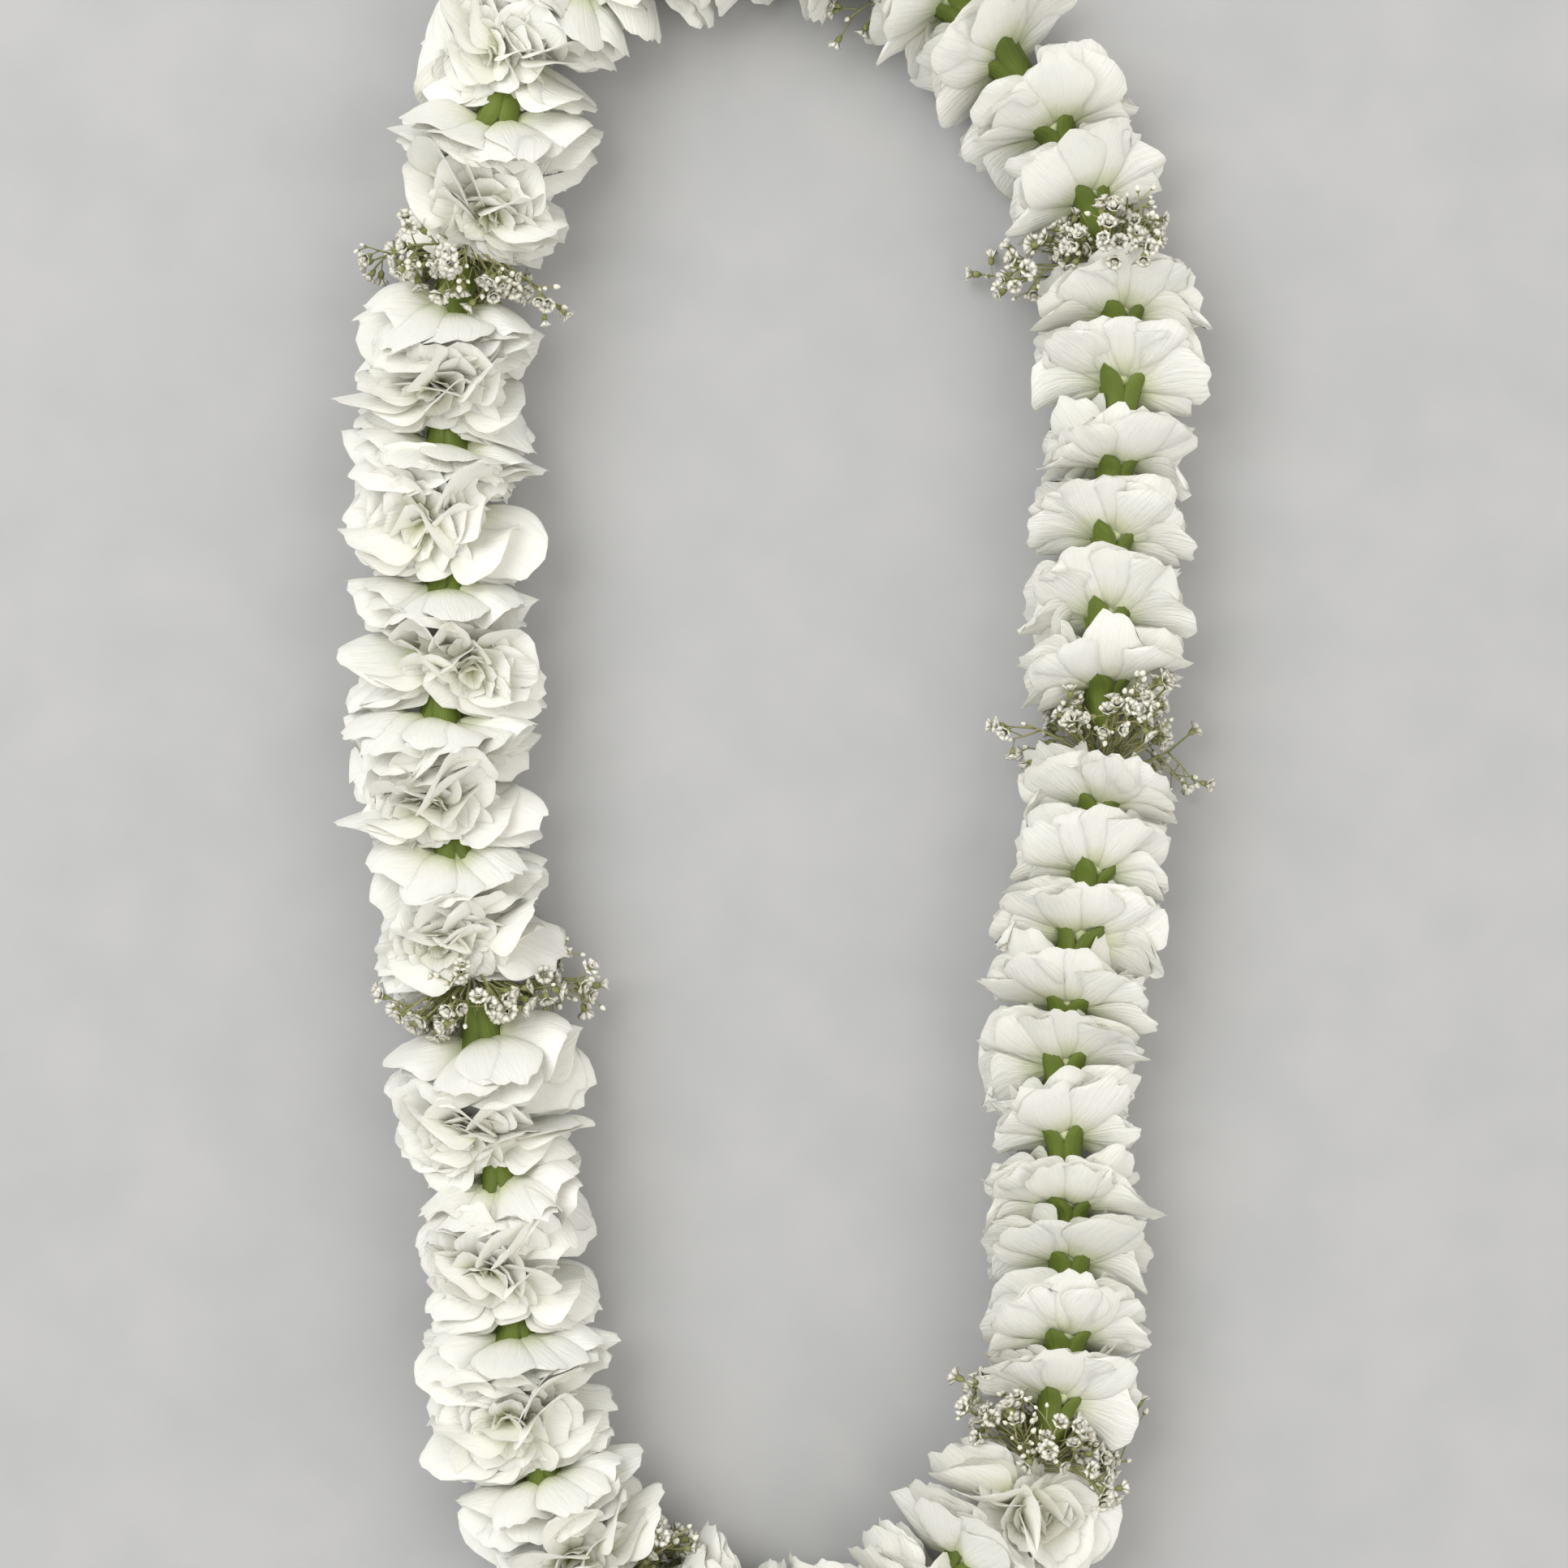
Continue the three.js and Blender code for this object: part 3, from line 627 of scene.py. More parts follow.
class Build:
    """Collects closed surfaces and makes one object of them."""

    VALUES = ("along", "across", "depth", "tint")

    def __init__(self):
        self.points = []
        self.faces = []
        self.materials = []
        self.rims = []
        self.values = {name: [] for name in self.VALUES}
        self.count = 0

    def add(self, points, faces, material=0, rim=None, **values):
        number = len(points)
        points[:, 2] = np.maximum(points[:, 2], TABLE_GAP)
        self.points.append(points)
        self.faces += [tuple(self.count + corner for corner in face) for face in faces]
        self.materials += [material] * len(faces)
        self.rims.append(np.zeros(number, bool) if rim is None else rim)
        for name in self.VALUES:
            self.values[name].append(np.broadcast_to(values.get(name, 0.0), (number,)))
        self.count += number

    def blade(self, surface, thickness, **values):
        """A thin closed blade about a grid of points: both faces share the border."""
        rows, columns = surface.shape[:2]
        normal = np.cross(*np.gradient(surface, axis=(0, 1)))
        normal /= np.maximum(np.linalg.norm(normal, axis=-1, keepdims=True), 1e-9)
        inside = np.zeros((rows, columns), bool)
        inside[1:-1, 1:-1] = True
        upper = surface + normal * (thickness / 2) * inside[..., None]
        lower = (surface - normal * (thickness / 2))[inside]
        points = np.concatenate([upper.reshape(-1, 3), lower])
        rim = np.concatenate([~inside.ravel(), np.zeros(len(lower), bool)])
        for name, value in values.items():
            grid = np.broadcast_to(value, (rows, columns))
            values[name] = np.concatenate([grid.ravel(), grid[inside]])
        self.add(points, blade_faces(rows, columns), rim=rim, **values)

    def tube(self, path, radii, sides, material=0, **values):
        """A closed tube about a path, one radius a point, its ends drawn to points."""
        side, up = square_to(unit(np.gradient(path, axis=0)), (0.31, 0.17, 0.93))
        angles = (np.arange(sides) * FULL_TURN / sides)[:, None]
        ring = np.cos(angles) * side[:, None] + np.sin(angles) * up[:, None]
        flat = (path[:, None] + ring * np.array(radii)[:, None, None]).reshape(-1, 3)
        last = len(path) - 1
        faces = ring_faces(last, sides, len(path))
        for i in range(sides):
            j = (i + 1) % sides
            faces.append((j, i, len(flat)))
            faces.append((last * sides + i, last * sides + j, len(flat) + 1))
        self.add(np.concatenate([flat, path[[0, -1]]]), faces, material, **values)

    def object(self, name, *kinds):
        """Makes one mesh object in metres, its edges sharp where a blade's two faces meet."""
        mesh = bpy.data.meshes.new(name)
        points = np.concatenate(self.points) * MM
        mesh.from_pydata(points.tolist(), [], self.faces)
        for kind in kinds:
            mesh.materials.append(MATERIALS[kind])
        mesh.polygons.foreach_set("material_index", self.materials)
        mesh.polygons.foreach_set("use_smooth", [True] * len(self.faces))
        for value, parts in self.values.items():
            attribute = mesh.attributes.new(value, "FLOAT", "POINT")
            attribute.data.foreach_set("value", np.concatenate(parts).astype(np.float32))
        rim = np.concatenate(self.rims)
        ends = np.zeros(len(mesh.edges) * 2, np.int32)
        mesh.edges.foreach_get("vertices", ends)
        sharp = rim[ends].reshape(-1, 2).all(axis=1)
        mesh.attributes.new("sharp_edge", "BOOLEAN", "EDGE").data.foreach_set("value", sharp)
        mesh.update()
        return new_object(name, mesh)


def ring_faces(spans, sides, rings):
    """The faces of a tube's spans from one ring of corners to the next, and from the last to the first."""
    faces = []
    for span in range(spans):
        start = span * sides
        ahead = (span + 1) % rings * sides
        for i in range(sides):
            j = (i + 1) % sides
            faces.append((start + i, start + j, ahead + j, ahead + i))
    return faces


@cache
def blade_faces(rows, columns):
    """Corner numbers of a blade's upper and lower faces, kept for each size of grid."""
    top = np.arange(rows * columns).reshape(rows, columns)
    bottom = top.copy()
    bottom[1:-1, 1:-1] = rows * columns + np.arange((rows - 2) * (columns - 2)).reshape(rows - 2, -1)
    quads = []
    for i in range(rows - 1):
        for j in range(columns - 1):
            quads.append((top[i, j], top[i + 1, j], top[i + 1, j + 1], top[i, j + 1]))
            quads.append((bottom[i, j], bottom[i, j + 1], bottom[i + 1, j + 1], bottom[i + 1, j]))
    return [tuple(int(corner) for corner in quad) for quad in quads]


# Materials
class Nodes:
    """A material's node tree, with short ways to add and join its nodes."""

    def __init__(self, name):
        self.material = bpy.data.materials.new(name)
        self.material.use_nodes = True
        self.tree = self.material.node_tree
        self.shader = self.tree.nodes["Principled BSDF"]

    def add(self, kind, inputs=None, **settings):
        node = self.tree.nodes.new(kind)
        for name, value in settings.items():
            setattr(node, name, value)
        for socket, value in (inputs or {}).items():
            self.feed(node.inputs[socket], value)
        return node

    def feed(self, socket, value):
        if isinstance(value, bpy.types.NodeSocket):
            self.tree.links.new(value, socket)
        else:
            socket.default_value = value

    def value(self, name):
        return self.add("ShaderNodeAttribute", attribute_name=name).outputs["Fac"]

    def math(self, operation, first, second):
        return self.add("ShaderNodeMath", {0: first, 1: second}, operation=operation).outputs[0]

    def remap(self, value, low, high, to_low=0.0, to_high=1.0):
        inputs = {"Value": value, "From Min": low, "From Max": high, "To Min": to_low, "To Max": to_high}
        return self.add("ShaderNodeMapRange", inputs, clamp=True).outputs["Result"]

    def noise(self, scale, detail, place=None, roughness=0.5):
        place = place or self.add("ShaderNodeTexCoord").outputs["Object"]
        inputs = {"Vector": place, "Scale": scale, "Detail": detail, "Roughness": roughness}
        return self.add("ShaderNodeTexNoise", inputs).outputs["Fac"]

    def streaks(self, scale, across, along, shift, roughness=0.5):
        """Noise drawn out along a blade, from three pairs of a value and its multiplier."""
        parts = [self.math("MULTIPLY", *part) for part in (across, along, shift)]
        place = self.add("ShaderNodeCombineXYZ", dict(zip("XYZ", parts))).outputs["Vector"]
        return self.noise(scale, 4.0, place, roughness)

    def blend(self, share, first, second):
        first, second = (
            (*colour, 1) if isinstance(colour, tuple) else colour for colour in (first, second))
        node = self.add("ShaderNodeMix", data_type="RGBA")
        for socket, value in ((0, share), (6, first), (7, second)):
            self.feed(node.inputs[socket], value)
        return node.outputs[2]

    def bump(self, height, distance, strength, under=None):
        inputs = {"Height": height, "Distance": distance, "Strength": strength}
        if under:
            inputs["Normal"] = under
        return self.add("ShaderNodeBump", inputs).outputs["Normal"]

    def finish(self, **inputs):
        for name, value in inputs.items():
            self.feed(self.shader.inputs[name.replace("_", " ")], value)
        return self.material


def petal_material():
    nodes = Nodes("petal")
    along, across, depth, tint = (nodes.value(name) for name in Build.VALUES)
    white = nodes.blend(tint, (0.915, 0.915, 0.845), (0.94, 0.93, 0.865))
    cream = nodes.blend(depth, (0.87, 0.87, 0.72), (0.86, 0.86, 0.64))
    green = (0.62, 0.70, 0.30)
    uneven = nodes.remap(nodes.noise(70.0, 2.0), 0.3, 0.7, 0.3, 0.5)
    base_reach = nodes.math("ADD", nodes.math("MULTIPLY", depth, 0.35), uneven)
    creamy = nodes.remap(nodes.math("DIVIDE", along, base_reach), 0.4, 1.5, 0.85, 0.0)
    colour = nodes.blend(creamy, white, cream)
    greenish = nodes.remap(along, 0.02, 0.4, 0.8, 0.0)
    colour = nodes.blend(greenish, colour, green)
    veins = nodes.streaks(1.6, (across, 7.0), (along, 1.4), (tint, 40.0), 0.6)
    colour = nodes.blend(nodes.remap(veins, 0.45, 0.75, 0.0, 0.14), colour, (0.76, 0.77, 0.62))
    crumple = nodes.noise(260.0, 3.0)
    return nodes.finish(
        Base_Color=colour, Roughness=nodes.remap(crumple, 0.3, 0.7, 0.5, 0.66),
        Normal=nodes.bump(crumple, 0.0003, 0.4, nodes.bump(veins, 0.0006, 0.7)),
        Specular_IOR_Level=0.3, Subsurface_Weight=0.25, Subsurface_Scale=0.0015,
        Subsurface_Radius=(1.0, 0.95, 0.7))


def calyx_material():
    nodes = Nodes("calyx")
    along, across, tint = (nodes.value(name) for name in ("along", "across", "tint"))
    dark = nodes.blend(tint, (0.065, 0.10, 0.011), (0.10, 0.145, 0.018))
    light = (0.17, 0.225, 0.035)
    colour = nodes.blend(nodes.remap(along, 0.1, 0.95, 0.1, 0.8), light, dark)
    streak = nodes.streaks(1.3, (across, 6.0), (along, 1.1), (tint, 30.0))
    colour = nodes.blend(nodes.remap(streak, 0.35, 0.75, 0.0, 0.5), colour, light)
    down = nodes.noise(900.0, 2.0)
    return nodes.finish(
        Base_Color=colour, Roughness=nodes.remap(down, 0.3, 0.7, 0.5, 0.7),
        Normal=nodes.bump(down, 0.0001, 0.4, nodes.bump(streak, 0.0005, 0.6)),
        Specular_IOR_Level=0.35)


def stem_material():
    nodes = Nodes("fine_stem")
    tint = nodes.value("tint")
    mottled = nodes.noise(500.0, 3.0)
    colour = nodes.blend(tint, (0.17, 0.21, 0.05), (0.36, 0.34, 0.16))
    colour = nodes.blend(nodes.remap(mottled, 0.4, 0.7, 0.0, 0.5), colour, (0.46, 0.43, 0.25))
    return nodes.finish(
        Base_Color=colour, Roughness=nodes.remap(mottled, 0.3, 0.7, 0.55, 0.75),
        Normal=nodes.bump(mottled, 0.0001, 0.5), Specular_IOR_Level=0.3)


def tiny_petal_material():
    nodes = Nodes("tiny_petal")
    along, tint = nodes.value("along"), nodes.value("tint")
    colour = nodes.blend(tint, (0.88, 0.87, 0.79), (0.80, 0.78, 0.67))
    colour = nodes.blend(nodes.remap(along, 0.0, 0.45, 0.8, 0.0), colour, (0.56, 0.57, 0.30))
    crumple = nodes.noise(1200.0, 2.0)
    return nodes.finish(
        Base_Color=colour, Roughness=nodes.remap(crumple, 0.3, 0.7, 0.55, 0.7),
        Normal=nodes.bump(crumple, 0.0001, 0.5), Specular_IOR_Level=0.3)


def thread_material():
    nodes = Nodes("cotton_thread")
    fibres = nodes.noise(1800.0, 4.0)
    colour = nodes.blend(nodes.remap(fibres, 0.35, 0.7), (0.80, 0.78, 0.70), (0.62, 0.60, 0.50))
    return nodes.finish(
        Base_Color=colour, Roughness=nodes.remap(fibres, 0.3, 0.7, 0.75, 0.9),
        Normal=nodes.bump(fibres, 0.0001, 0.7), Sheen_Weight=0.2)


MATERIALS = {
    "petal": petal_material(),
    "calyx": calyx_material(),
    "stem": stem_material(),
    "tiny_petal": tiny_petal_material(),
    "thread": thread_material(),
}


# Calyces: four sepals grown into a squarish tube, their free tips turned out over the petals' roots
SEPAL_GRID = (12, 7)
SEPAL_THICKNESS = 0.55
SEPAL_TIP = 5.4
CALYX_TURN = 0.5
CALYX_FOOT_RADIUS = 2.1
CALYX_BULGE = 2.6
TIP_FLARE = 3.5


def calyx_start(floret):
    return floret.along + CALYX_TOP - CALYX_LENGTH


def sepal_surface(floret, number, turn, stream):
    t, v = blade_grid(SEPAL_GRID)
    whole = CALYX_LENGTH + SEPAL_TIP
    reach = t * whole * (1 + stream.wander(0.05))
    rim = CALYX_LENGTH / whole
    tube = np.minimum(t / rim, 1)
    parting = 0.92 * rim
    free = np.maximum(0, (t - parting) / (1 - parting))
    flare = (TIP_FLARE + stream.wander(0.4)) * free ** 1.35
    radius = CALYX_FOOT_RADIUS + CALYX_BULGE * np.sin(tube * math.pi / 2) ** 0.8 + flare
    half_angle = math.radians(50) * (1 - free) ** 0.8 * (1 + 0.5 * free) + 0.01
    angle = turn + math.radians(45 + 90 * number) + stream.wander(0.1) + v * half_angle
    ribs = 0.25 * np.cos(v * 9) * tube * (1 - free)
    radius = radius * (1 - 0.17 * v * v) + ribs
    points = around_thread(radius, angle, calyx_start(floret) + reach)
    settle(points, floret.looseness)
    return lay_out(points), t, v


# Round bodies about the thread, as (along it, radius): the petals' narrow claws, packed together
# in the floret's middle, and the core that closes the calyx
CLAWS = ((-2.6, 2.4), (-1.0, 3.5), (0.6, 4.0), (2.0, 3.4), (2.8, 2.0))
CORE = ((-0.5, 1.3), (0.0, 1.9), (1.0, 2.2), (3.5, 3.2), (7.5, 3.6), (10.5, 2.6))


def add_round(build, profile, start, sides, **values):
    along, radii = np.array(profile).T
    build.tube(lay_out(around_thread(0, 0, start + along)), radii, sides, **values)


def add_calyx(build, floret):
    """Four sepals about their core."""
    stream = Stream(CALYX_SEED + floret.seed)
    turn = stream.wander(CALYX_TURN)
    for number in range(4):
        tint = stream.draw()
        surface, t, v = sepal_surface(floret, number, turn, stream)
        build.blade(surface, SEPAL_THICKNESS, along=t, across=v, tint=tint)
    add_round(build, CORE, calyx_start(floret), 8, along=0.1, tint=0.5)


# Baby's breath
HUB_START, HUB_END = 3.6, 13
HUB_STEMS = 6
HUB_RADIUS = 1.7
HUB_RADII = (0.4, 0.5, 0.55, 0.5, 0.3)
BARE_RADII = (0.2, 0.19, 0.17, 0.12)
SPRIG_COUNT = 8
ADDED_TWIGS = 10
BARE_TWIGS = 110
# The directions off the thread of the sprigs that stick out of a band, in degrees
STRAY_TWIGS = ((195,), (-10, 12), (170,), (8, 188))
SPRIG_ROOT = 1.4
# By level: how thick a twig is, how many sides it has and how many twigs branch off it
TWIG_LEVELS = ((0.42, 5, 3), (0.27, 4, 2), (0.2, 4, 0))
FLOWER_SHARE = 0.5
# How high sprigs lie above the petals that are pressed on the table
SPRIG_LIE = 1.6
STEM, FLOWER = 0, 1


@dataclass
class Twig:
    """A stem in strand space, straight or bent by its sag."""

    root: np.ndarray
    heading: np.ndarray
    length: float
    sag: np.ndarray | float = 0

    def path(self, count, looseness):
        """Points along the twig on the table, lying on it where the twig would reach below it."""
        points = self.point(np.linspace(0, 1, count)[:, None])
        settle(points, looseness, SPRIG_LIE)
        return lay_out(points)

    def point(self, share):
        return self.root + self.heading * self.length * share + self.sag * share ** 2


def direction(azimuth, lean):
    return around_thread(math.sin(lean), azimuth, math.cos(lean))


def turned(heading, angle, roll):
    """The heading bent by an angle, towards a side given by the roll round it."""
    side, up = square_to(heading, (0.3, 0.2, 0.93))
    towards = math.cos(roll) * side + math.sin(roll) * up
    return unit(math.cos(angle) * heading + math.sin(angle) * towards)


# Half of a tiny petal's border, as (along, half the width), and the width of the whole
TINY_BORDER = [(0, 0.16), (0.45, 0.75), (0.85, 1.0), (1.04, 0.45), (0.92, 0)]
TINY_WIDTH = 0.46


def tiny_petal(build, centre, axis, out, side, size, lift, tint):
    """One petal of a tiny flower: a thin notched blade that leans from the flower's axis."""
    border = TINY_BORDER + [(u, -w) for u, w in TINY_BORDER[-2::-1]]
    u, w = (column[:, None] for column in np.array(border).T)
    rise = np.sin(u * 1.7) * math.sin(lift) + 0.18 * u * u
    flat = centre + size * (u * math.cos(lift) * out + TINY_WIDTH * w * side + rise * axis)
    middle = flat.mean(axis=0)
    bow = 0.1 * size * np.cross(out, side)
    points = np.concatenate([flat, [middle + bow, middle - bow * 0.4]])
    count = len(border)
    faces = []
    for i in range(count):
        j = (i + 1) % count
        faces.append((i, j, count))
        faces.append((j, i, count + 1))
    along = np.concatenate([u.ravel(), [0.6, 0.6]])
    build.add(points, faces, FLOWER, along=along, tint=tint)


# Rings of a tiny flower: (count, size, lift, shift round the flower, greatest lift)
FLOWER_LAYERS = [(6, 1.0, 0.3, 0.0, 1.45), (5, 0.75, 1.35, 0.4, 1.85)]


def tiny_flower(build, base, axis, size, openness, stream):
    """A double flower 4 to 5 mm across, in its small green cup."""
    side, up = square_to(axis, (0.37, 0.21, 0.9))
    cup = np.stack([base - axis * 0.25 * size, base + axis * 0.1 * size, base + axis * 0.55 * size])
    build.tube(cup, [0.12 * size, 0.34 * size, 0.36 * size], 6, STEM, tint=0.25)
    centre = base + axis * 0.42 * size
    turn = stream.turn()
    tint = stream.draw()
    for count, scale, lift, shift, greatest in FLOWER_LAYERS:
        for i in range(count):
            angle = turn + (i + shift) * FULL_TURN / count + stream.wander(0.2)
            out = math.cos(angle) * side + math.sin(angle) * up
            across = math.cos(angle) * up - math.sin(angle) * side
            leaned = lift + (1 - openness) * 0.9 + stream.wander(0.15)
            tiny_petal(build, centre + out * 0.1 * size, axis, out, across,
                       size * scale, min(leaned, greatest), tint)


# A bud's outline, as (along, radius): the first three make its green cup
BUD = ((-0.2, 0.12), (0.15, 0.36), (0.55, 0.46), (0.95, 0.28), (1.15, 0.08))


def bud(build, base, axis, size, stream):
    """A closed flower: its green cup, and the white tip that shows beyond it."""
    along, radii = np.array(BUD).T * size
    path = base + axis * along[:, None]
    build.tube(path[:3], radii[:3], 6, STEM, tint=0.6 * stream.draw())
    build.tube(path[1:], radii[1:] * 1.02, 6, FLOWER, along=0.5, tint=0.4 + 0.6 * stream.draw())


def top_of(build, tip, axis, stream):
    """What a pedicel carries: a flower, or a bud that hasn't opened."""
    if stream.draw() < FLOWER_SHARE:
        tiny_flower(build, tip, axis, stream.between(1.9, 2.6), stream.between(0.3, 1), stream)
    else:
        bud(build, tip, axis, stream.between(1.0, 1.7), stream)


def grow_twig(build, twig, floret, stream, level=0):
    """A twig with what it carries and the twigs that branch off it."""
    thick, sides, branches = TWIG_LEVELS[level]
    path = twig.path(5, floret.looseness)
    build.tube(path, np.linspace(thick, thick * 0.6, len(path)), sides, STEM, tint=stream.draw())
    top_of(build, path[-1], unit(path[-1] - path[-2]), stream)
    for _ in range(branches):
        root = twig.point(stream.between(0.4, 0.92))
        heading = turned(twig.heading, stream.between(0.45, 1.0), stream.turn())
        length = twig.length * stream.between(0.28, 0.5)
        sag = np.array([stream.wander(1), stream.wander(1) - 0.3, stream.wander(1)]) * 0.12 * length
        grow_twig(build, Twig(root, heading, max(length, 3.0), sag), floret, stream, level + 1)


def add_hub(build, last, own):
    """The bunch of stems round the thread that the sprigs grow from."""
    along = last.along + np.linspace(HUB_START, HUB_END, len(HUB_RADII))
    for i in range(HUB_STEMS):
        stem = around_thread(HUB_RADIUS, i * FULL_TURN / HUB_STEMS, along)
        build.tube(lay_out(stem), HUB_RADII, 5, STEM, tint=own.draw())


def solid_sprig(i, hub_end, same):
    """A sprig that the solids have too, from the same draws."""
    azimuth = (i + 0.3 * (same.draw() * 2 - 1)) * FULL_TURN / SPRIG_COUNT
    outermost = i % 3 == 0
    lean = math.radians(62 + 10 * same.draw() if outermost else 44 + 12 * same.draw())
    length = (19 if outermost else 13) + 4 * same.draw()
    start = hub_end - 1.4 - 1.6 * same.draw()
    return Twig(around_thread(SPRIG_ROOT, azimuth, start), direction(azimuth, lean), length)


def added_sprig(i, hub_end, own):
    azimuth = (i + own.draw()) * FULL_TURN / ADDED_TWIGS
    return Twig(
        root=around_thread(SPRIG_ROOT, azimuth, hub_end - own.between(0, 3)),
        heading=direction(azimuth, math.radians(own.between(30, 74))), length=own.between(11, 18),
        sag=np.array([own.wander(2) for _ in range(3)]))


def stray_sprig(degrees, hub_end, own):
    heading = direction(math.radians(degrees + own.wander(12)), math.radians(own.between(72, 84)))
    return Twig(
        root=around_thread(SPRIG_ROOT, math.radians(degrees), hub_end - 2), heading=heading,
        length=own.between(22, 26), sag=np.array([0, own.between(-4, 1), own.between(1, 5)]))


def bare_twig(i, hub_end, own):
    azimuth = (i + own.draw()) * FULL_TURN / BARE_TWIGS
    heading = direction(azimuth, math.radians(own.between(25, 74)))
    root = around_thread(SPRIG_ROOT, azimuth, hub_end - own.between(0, 3)) + heading * own.between(1, 9)
    heading = turned(heading, own.between(0, 0.6), own.turn())
    return Twig(root, heading, length=own.between(4, 8))


def add_spray(build, last, following, seed):
    """A band of baby's breath: the solids' sprigs, branched, with finer and bare ones between them."""
    same = Stream(seed)
    own = Stream(20 * seed)
    hub_end = last.along + HUB_END
    add_hub(build, last, own)
    for i in range(SPRIG_COUNT):
        grow_twig(build, solid_sprig(i, hub_end, same), following, own)
    for i in range(ADDED_TWIGS):
        grow_twig(build, added_sprig(i, hub_end, own), following, own)
    for degrees in STRAY_TWIGS[seed % len(STRAY_TWIGS)]:
        grow_twig(build, stray_sprig(degrees, hub_end, own), following, own)
    for i in range(BARE_TWIGS):
        twig = bare_twig(i, hub_end, own)
        path = twig.path(len(BARE_RADII), following.looseness)
        build.tube(path, BARE_RADII, 4, STEM, tint=own.draw())


# The thread: two strands twisted together, seen as a two-lobed section that turns as it goes
TWIST_PITCH = 4.2
THREAD_STEP = 1.0
THREAD_SIDES = 8
THREAD_RADIUS = 0.42
LOBE_HEIGHT = 0.14
KNOT_RADIUS = 0.95


def twisted_thread(build):
    count = int(ROUTE_LENGTH / THREAD_STEP)
    along = np.arange(count) * ROUTE_LENGTH / count
    turns = round(ROUTE_LENGTH / TWIST_PITCH)
    spin = along / ROUTE_LENGTH * turns * FULL_TURN
    angles = np.arange(THREAD_SIDES) * FULL_TURN / THREAD_SIDES
    radius = THREAD_RADIUS + LOBE_HEIGHT * np.cos(2 * (angles[None, :] - spin[:, None]))
    points = around_thread(radius, angles, along[:, None])
    build.add(lay_out(points).reshape(-1, 3), ring_faces(count, THREAD_SIDES, count))


def knot(build, along):
    """An overhand knot: a trefoil of thread pulled small."""
    t = np.linspace(0, FULL_TURN, 40)
    swing = KNOT_RADIUS * (1 + 0.55 * np.cos(3 * t))
    points = around_thread(swing, 2 * t, along + 0.75 * np.sin(3 * t))
    build.tube(lay_out(points), np.full(len(t), 0.46), 6)


# Pieces
def stand_for(piece, slot, *nodes):
    """The piece rides on the lei's body in the place of the solids' nodes."""
    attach(piece, "root")
    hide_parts(*nodes)


def make_florets(pairs):
    for number, (first, second) in enumerate(pairs, 1):
        stream = Stream(FINISH_SEED + number)
        white, green = Build(), Build()
        outers, inners = zip(*(solid_petals(floret) for floret in (first, second)))
        under = outers[1].index(lowest(outers[1]))
        outers[1][under] = fall_back(outers[1][under], second, first, lowest(inners[0]))
        for floret, outer, inner in zip((first, second), outers, inners):
            rosette = rosette_petals(floret) if floret.is_rosette else []
            for petal in outer + inner + added_petals(floret) + rosette:
                petal = finished(petal, stream)
                surface, u, v = petal_surface(petal, floret)
                white.blade(surface, PETAL_THICKNESS, along=u, across=v, depth=petal.depth, tint=petal.tint)
            add_round(white, CLAWS, floret.along, 10, along=0.08, depth=0.5, tint=0.5)
            add_calyx(green, floret)
        for build, kind, slot in ((white, "petal", "petals"), (green, "calyx", "calyces")):
            piece = build.object(f"stock_{slot}_{number:02d}", kind)
            stand_for(piece, slot, f"{slot}_{number:02d}")


def make_sprays(runs):
    for i, run in enumerate(runs):
        build = Build()
        add_spray(build, runs[i - 1][-1], run[0], SPRAY_SEED + i)
        spray = build.object(f"spray_{i + 1:02d}", "stem", "tiny_petal")
        stand_for(spray, "baby_breath", f"baby_breath_{i + 1:02d}")


def make_thread(runs):
    build = Build()
    twisted_thread(build)
    knot(build, runs[KNOTTED_RUN][-1].along + HUB_END + 2)
    stand_for(build.object("string", "thread"), "thread", "thread")


# The studio: a pale table, soft light from the upper left, and a camera straight above
FRAME_WIDTH = 386.4
FRAME_CENTRE = (-PLAN_CENTRE[0], -PLAN_CENTRE[1])
LENS = 100
SENSOR = 36
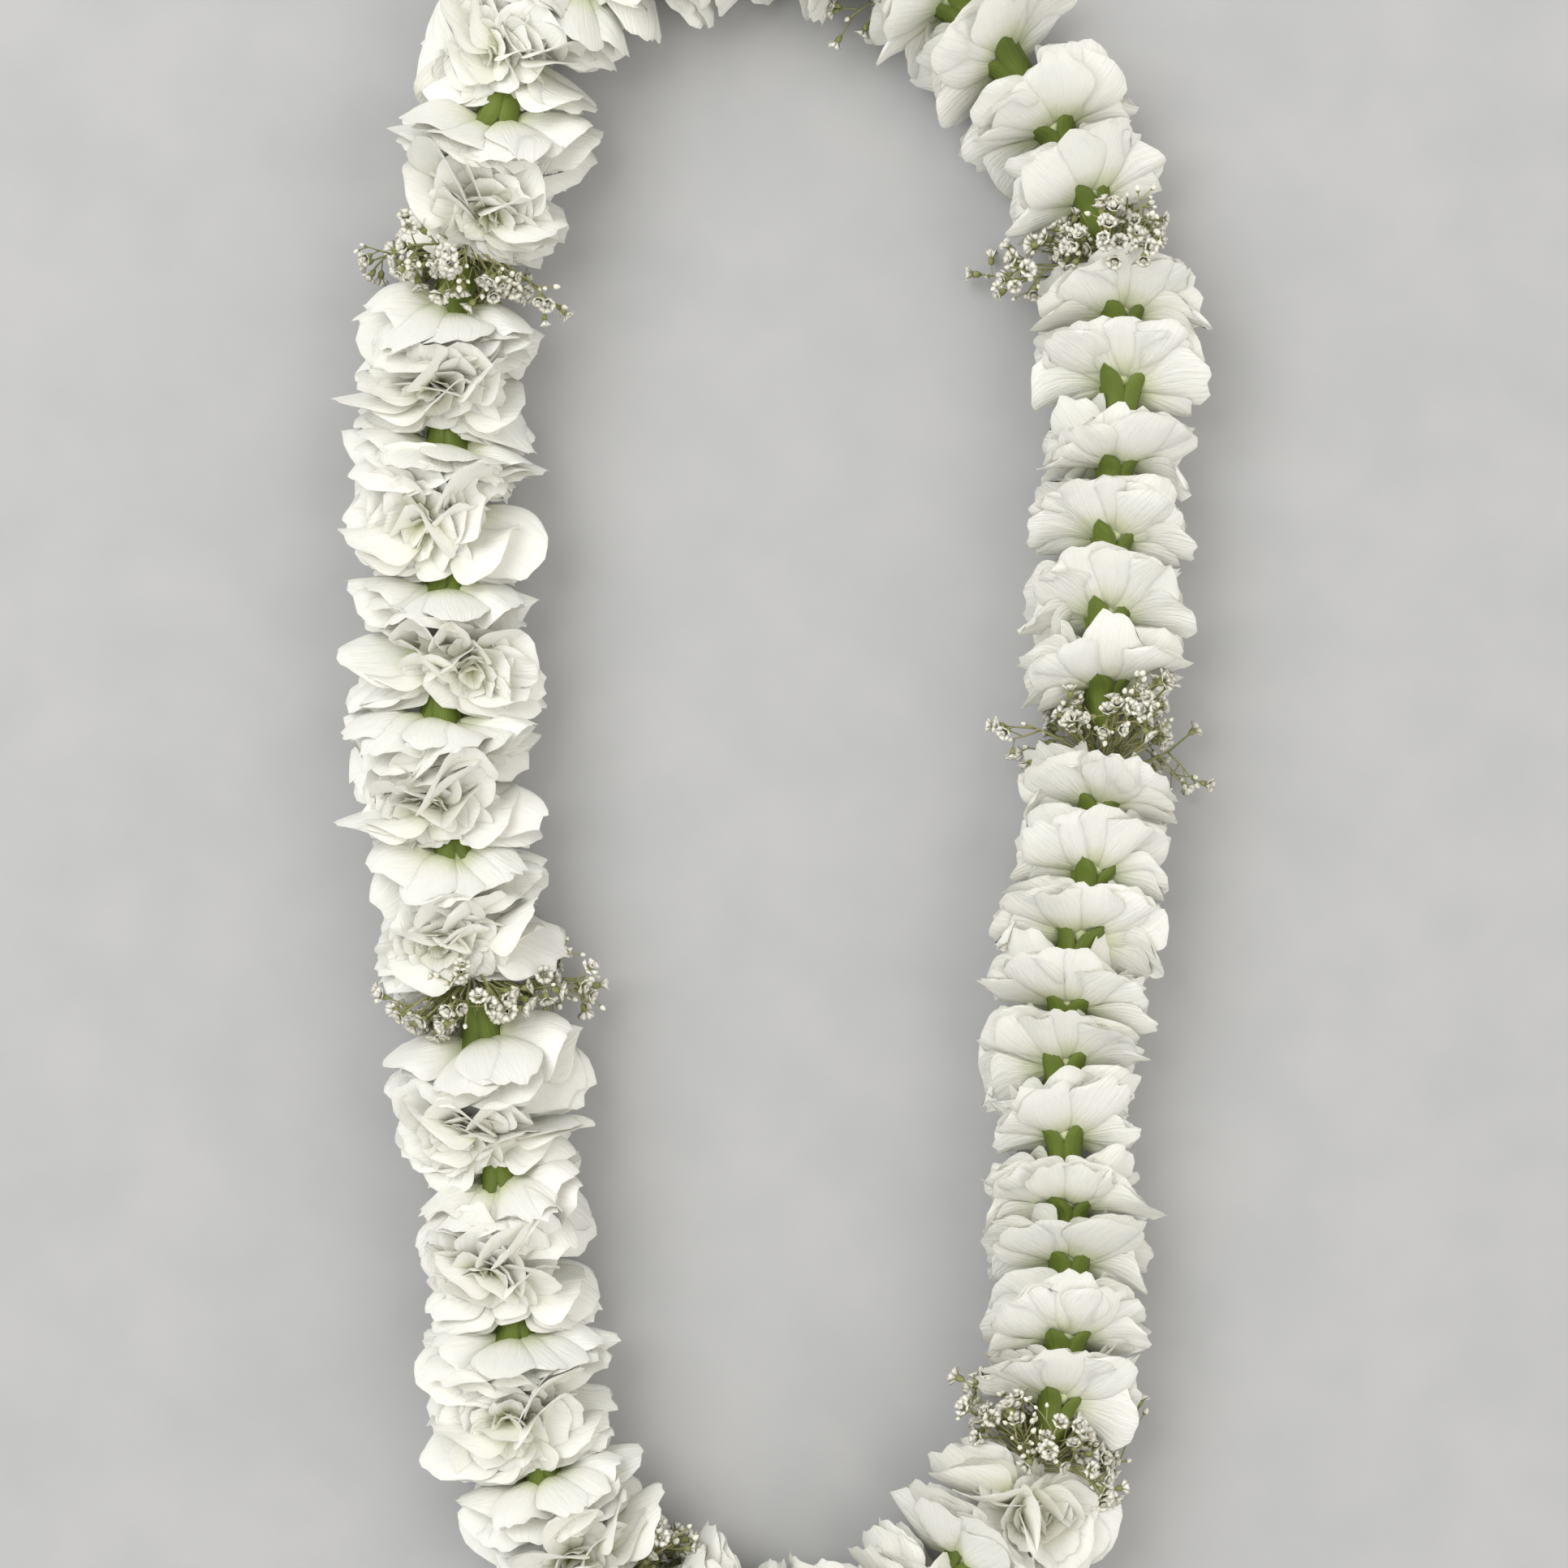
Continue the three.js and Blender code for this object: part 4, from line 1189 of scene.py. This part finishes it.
# Lights over the middle of the lei: (name, size, energy, place, colour), in metres and watts
LIGHTS = (
    ("key", 1.7, 24.5, (-1.0, 0.7, 1.6), (1, 1, 1)),
    ("fill", 1.8, 12, (1.3, -0.4, 1.4), (1.0, 0.96, 0.9)),
)
SKY_COLOUR = (1.0, 0.985, 0.955, 1)
SKY_STRENGTH = 0.69
TABLE_HALF = 3.0


def make_camera():
    camera = bpy.data.cameras.new("camera")
    camera.lens = LENS
    camera.sensor_width = camera.sensor_height = SENSOR
    camera.clip_start = 0.05
    camera.clip_end = 20
    holder = new_object("camera", camera)
    height = THREAD_HEIGHT + FRAME_WIDTH * LENS / SENSOR
    holder.location = Vector((*FRAME_CENTRE, height)) * MM
    bpy.context.scene.camera = holder


def make_light(name, size, energy, place, colour):
    light = bpy.data.lights.new(name, "AREA")
    light.shape = "DISK"
    light.size = size
    light.energy = energy
    light.color = colour
    holder = new_object(name, light)
    holder.location = place
    holder.rotation_euler = (-Vector(place)).to_track_quat("-Z", "Y").to_euler()


def make_world():
    world = bpy.data.worlds.new("studio")
    world.use_nodes = True
    background = world.node_tree.nodes["Background"]
    background.inputs["Color"].default_value = SKY_COLOUR
    background.inputs["Strength"].default_value = SKY_STRENGTH
    bpy.context.scene.world = world


def make_floor():
    nodes = Nodes("table")
    grain = nodes.noise(35.0, 3.0)
    colour = nodes.blend(nodes.remap(grain, 0.35, 0.65), (0.44, 0.445, 0.45), (0.47, 0.472, 0.475))
    mesh = bpy.data.meshes.new("table")
    corners = [(x * TABLE_HALF, y * TABLE_HALF, 0) for x, y in ((-1, -1), (1, -1), (1, 1), (-1, 1))]
    mesh.from_pydata(corners, [], [(0, 1, 2, 3)])
    mesh.materials.append(
        nodes.finish(Base_Color=colour, Roughness=0.8, Specular_IOR_Level=0.2))
    new_object("table", mesh)


make_camera()
runs = string_florets()
florets = [floret for run in runs for floret in run]
make_florets(zip(florets[::2], florets[1::2]))
make_sprays(runs)
make_thread(runs)
make_floor()
make_world()
for light in LIGHTS:
    make_light(*light)
bpy.context.scene.view_settings.view_transform = "Standard"
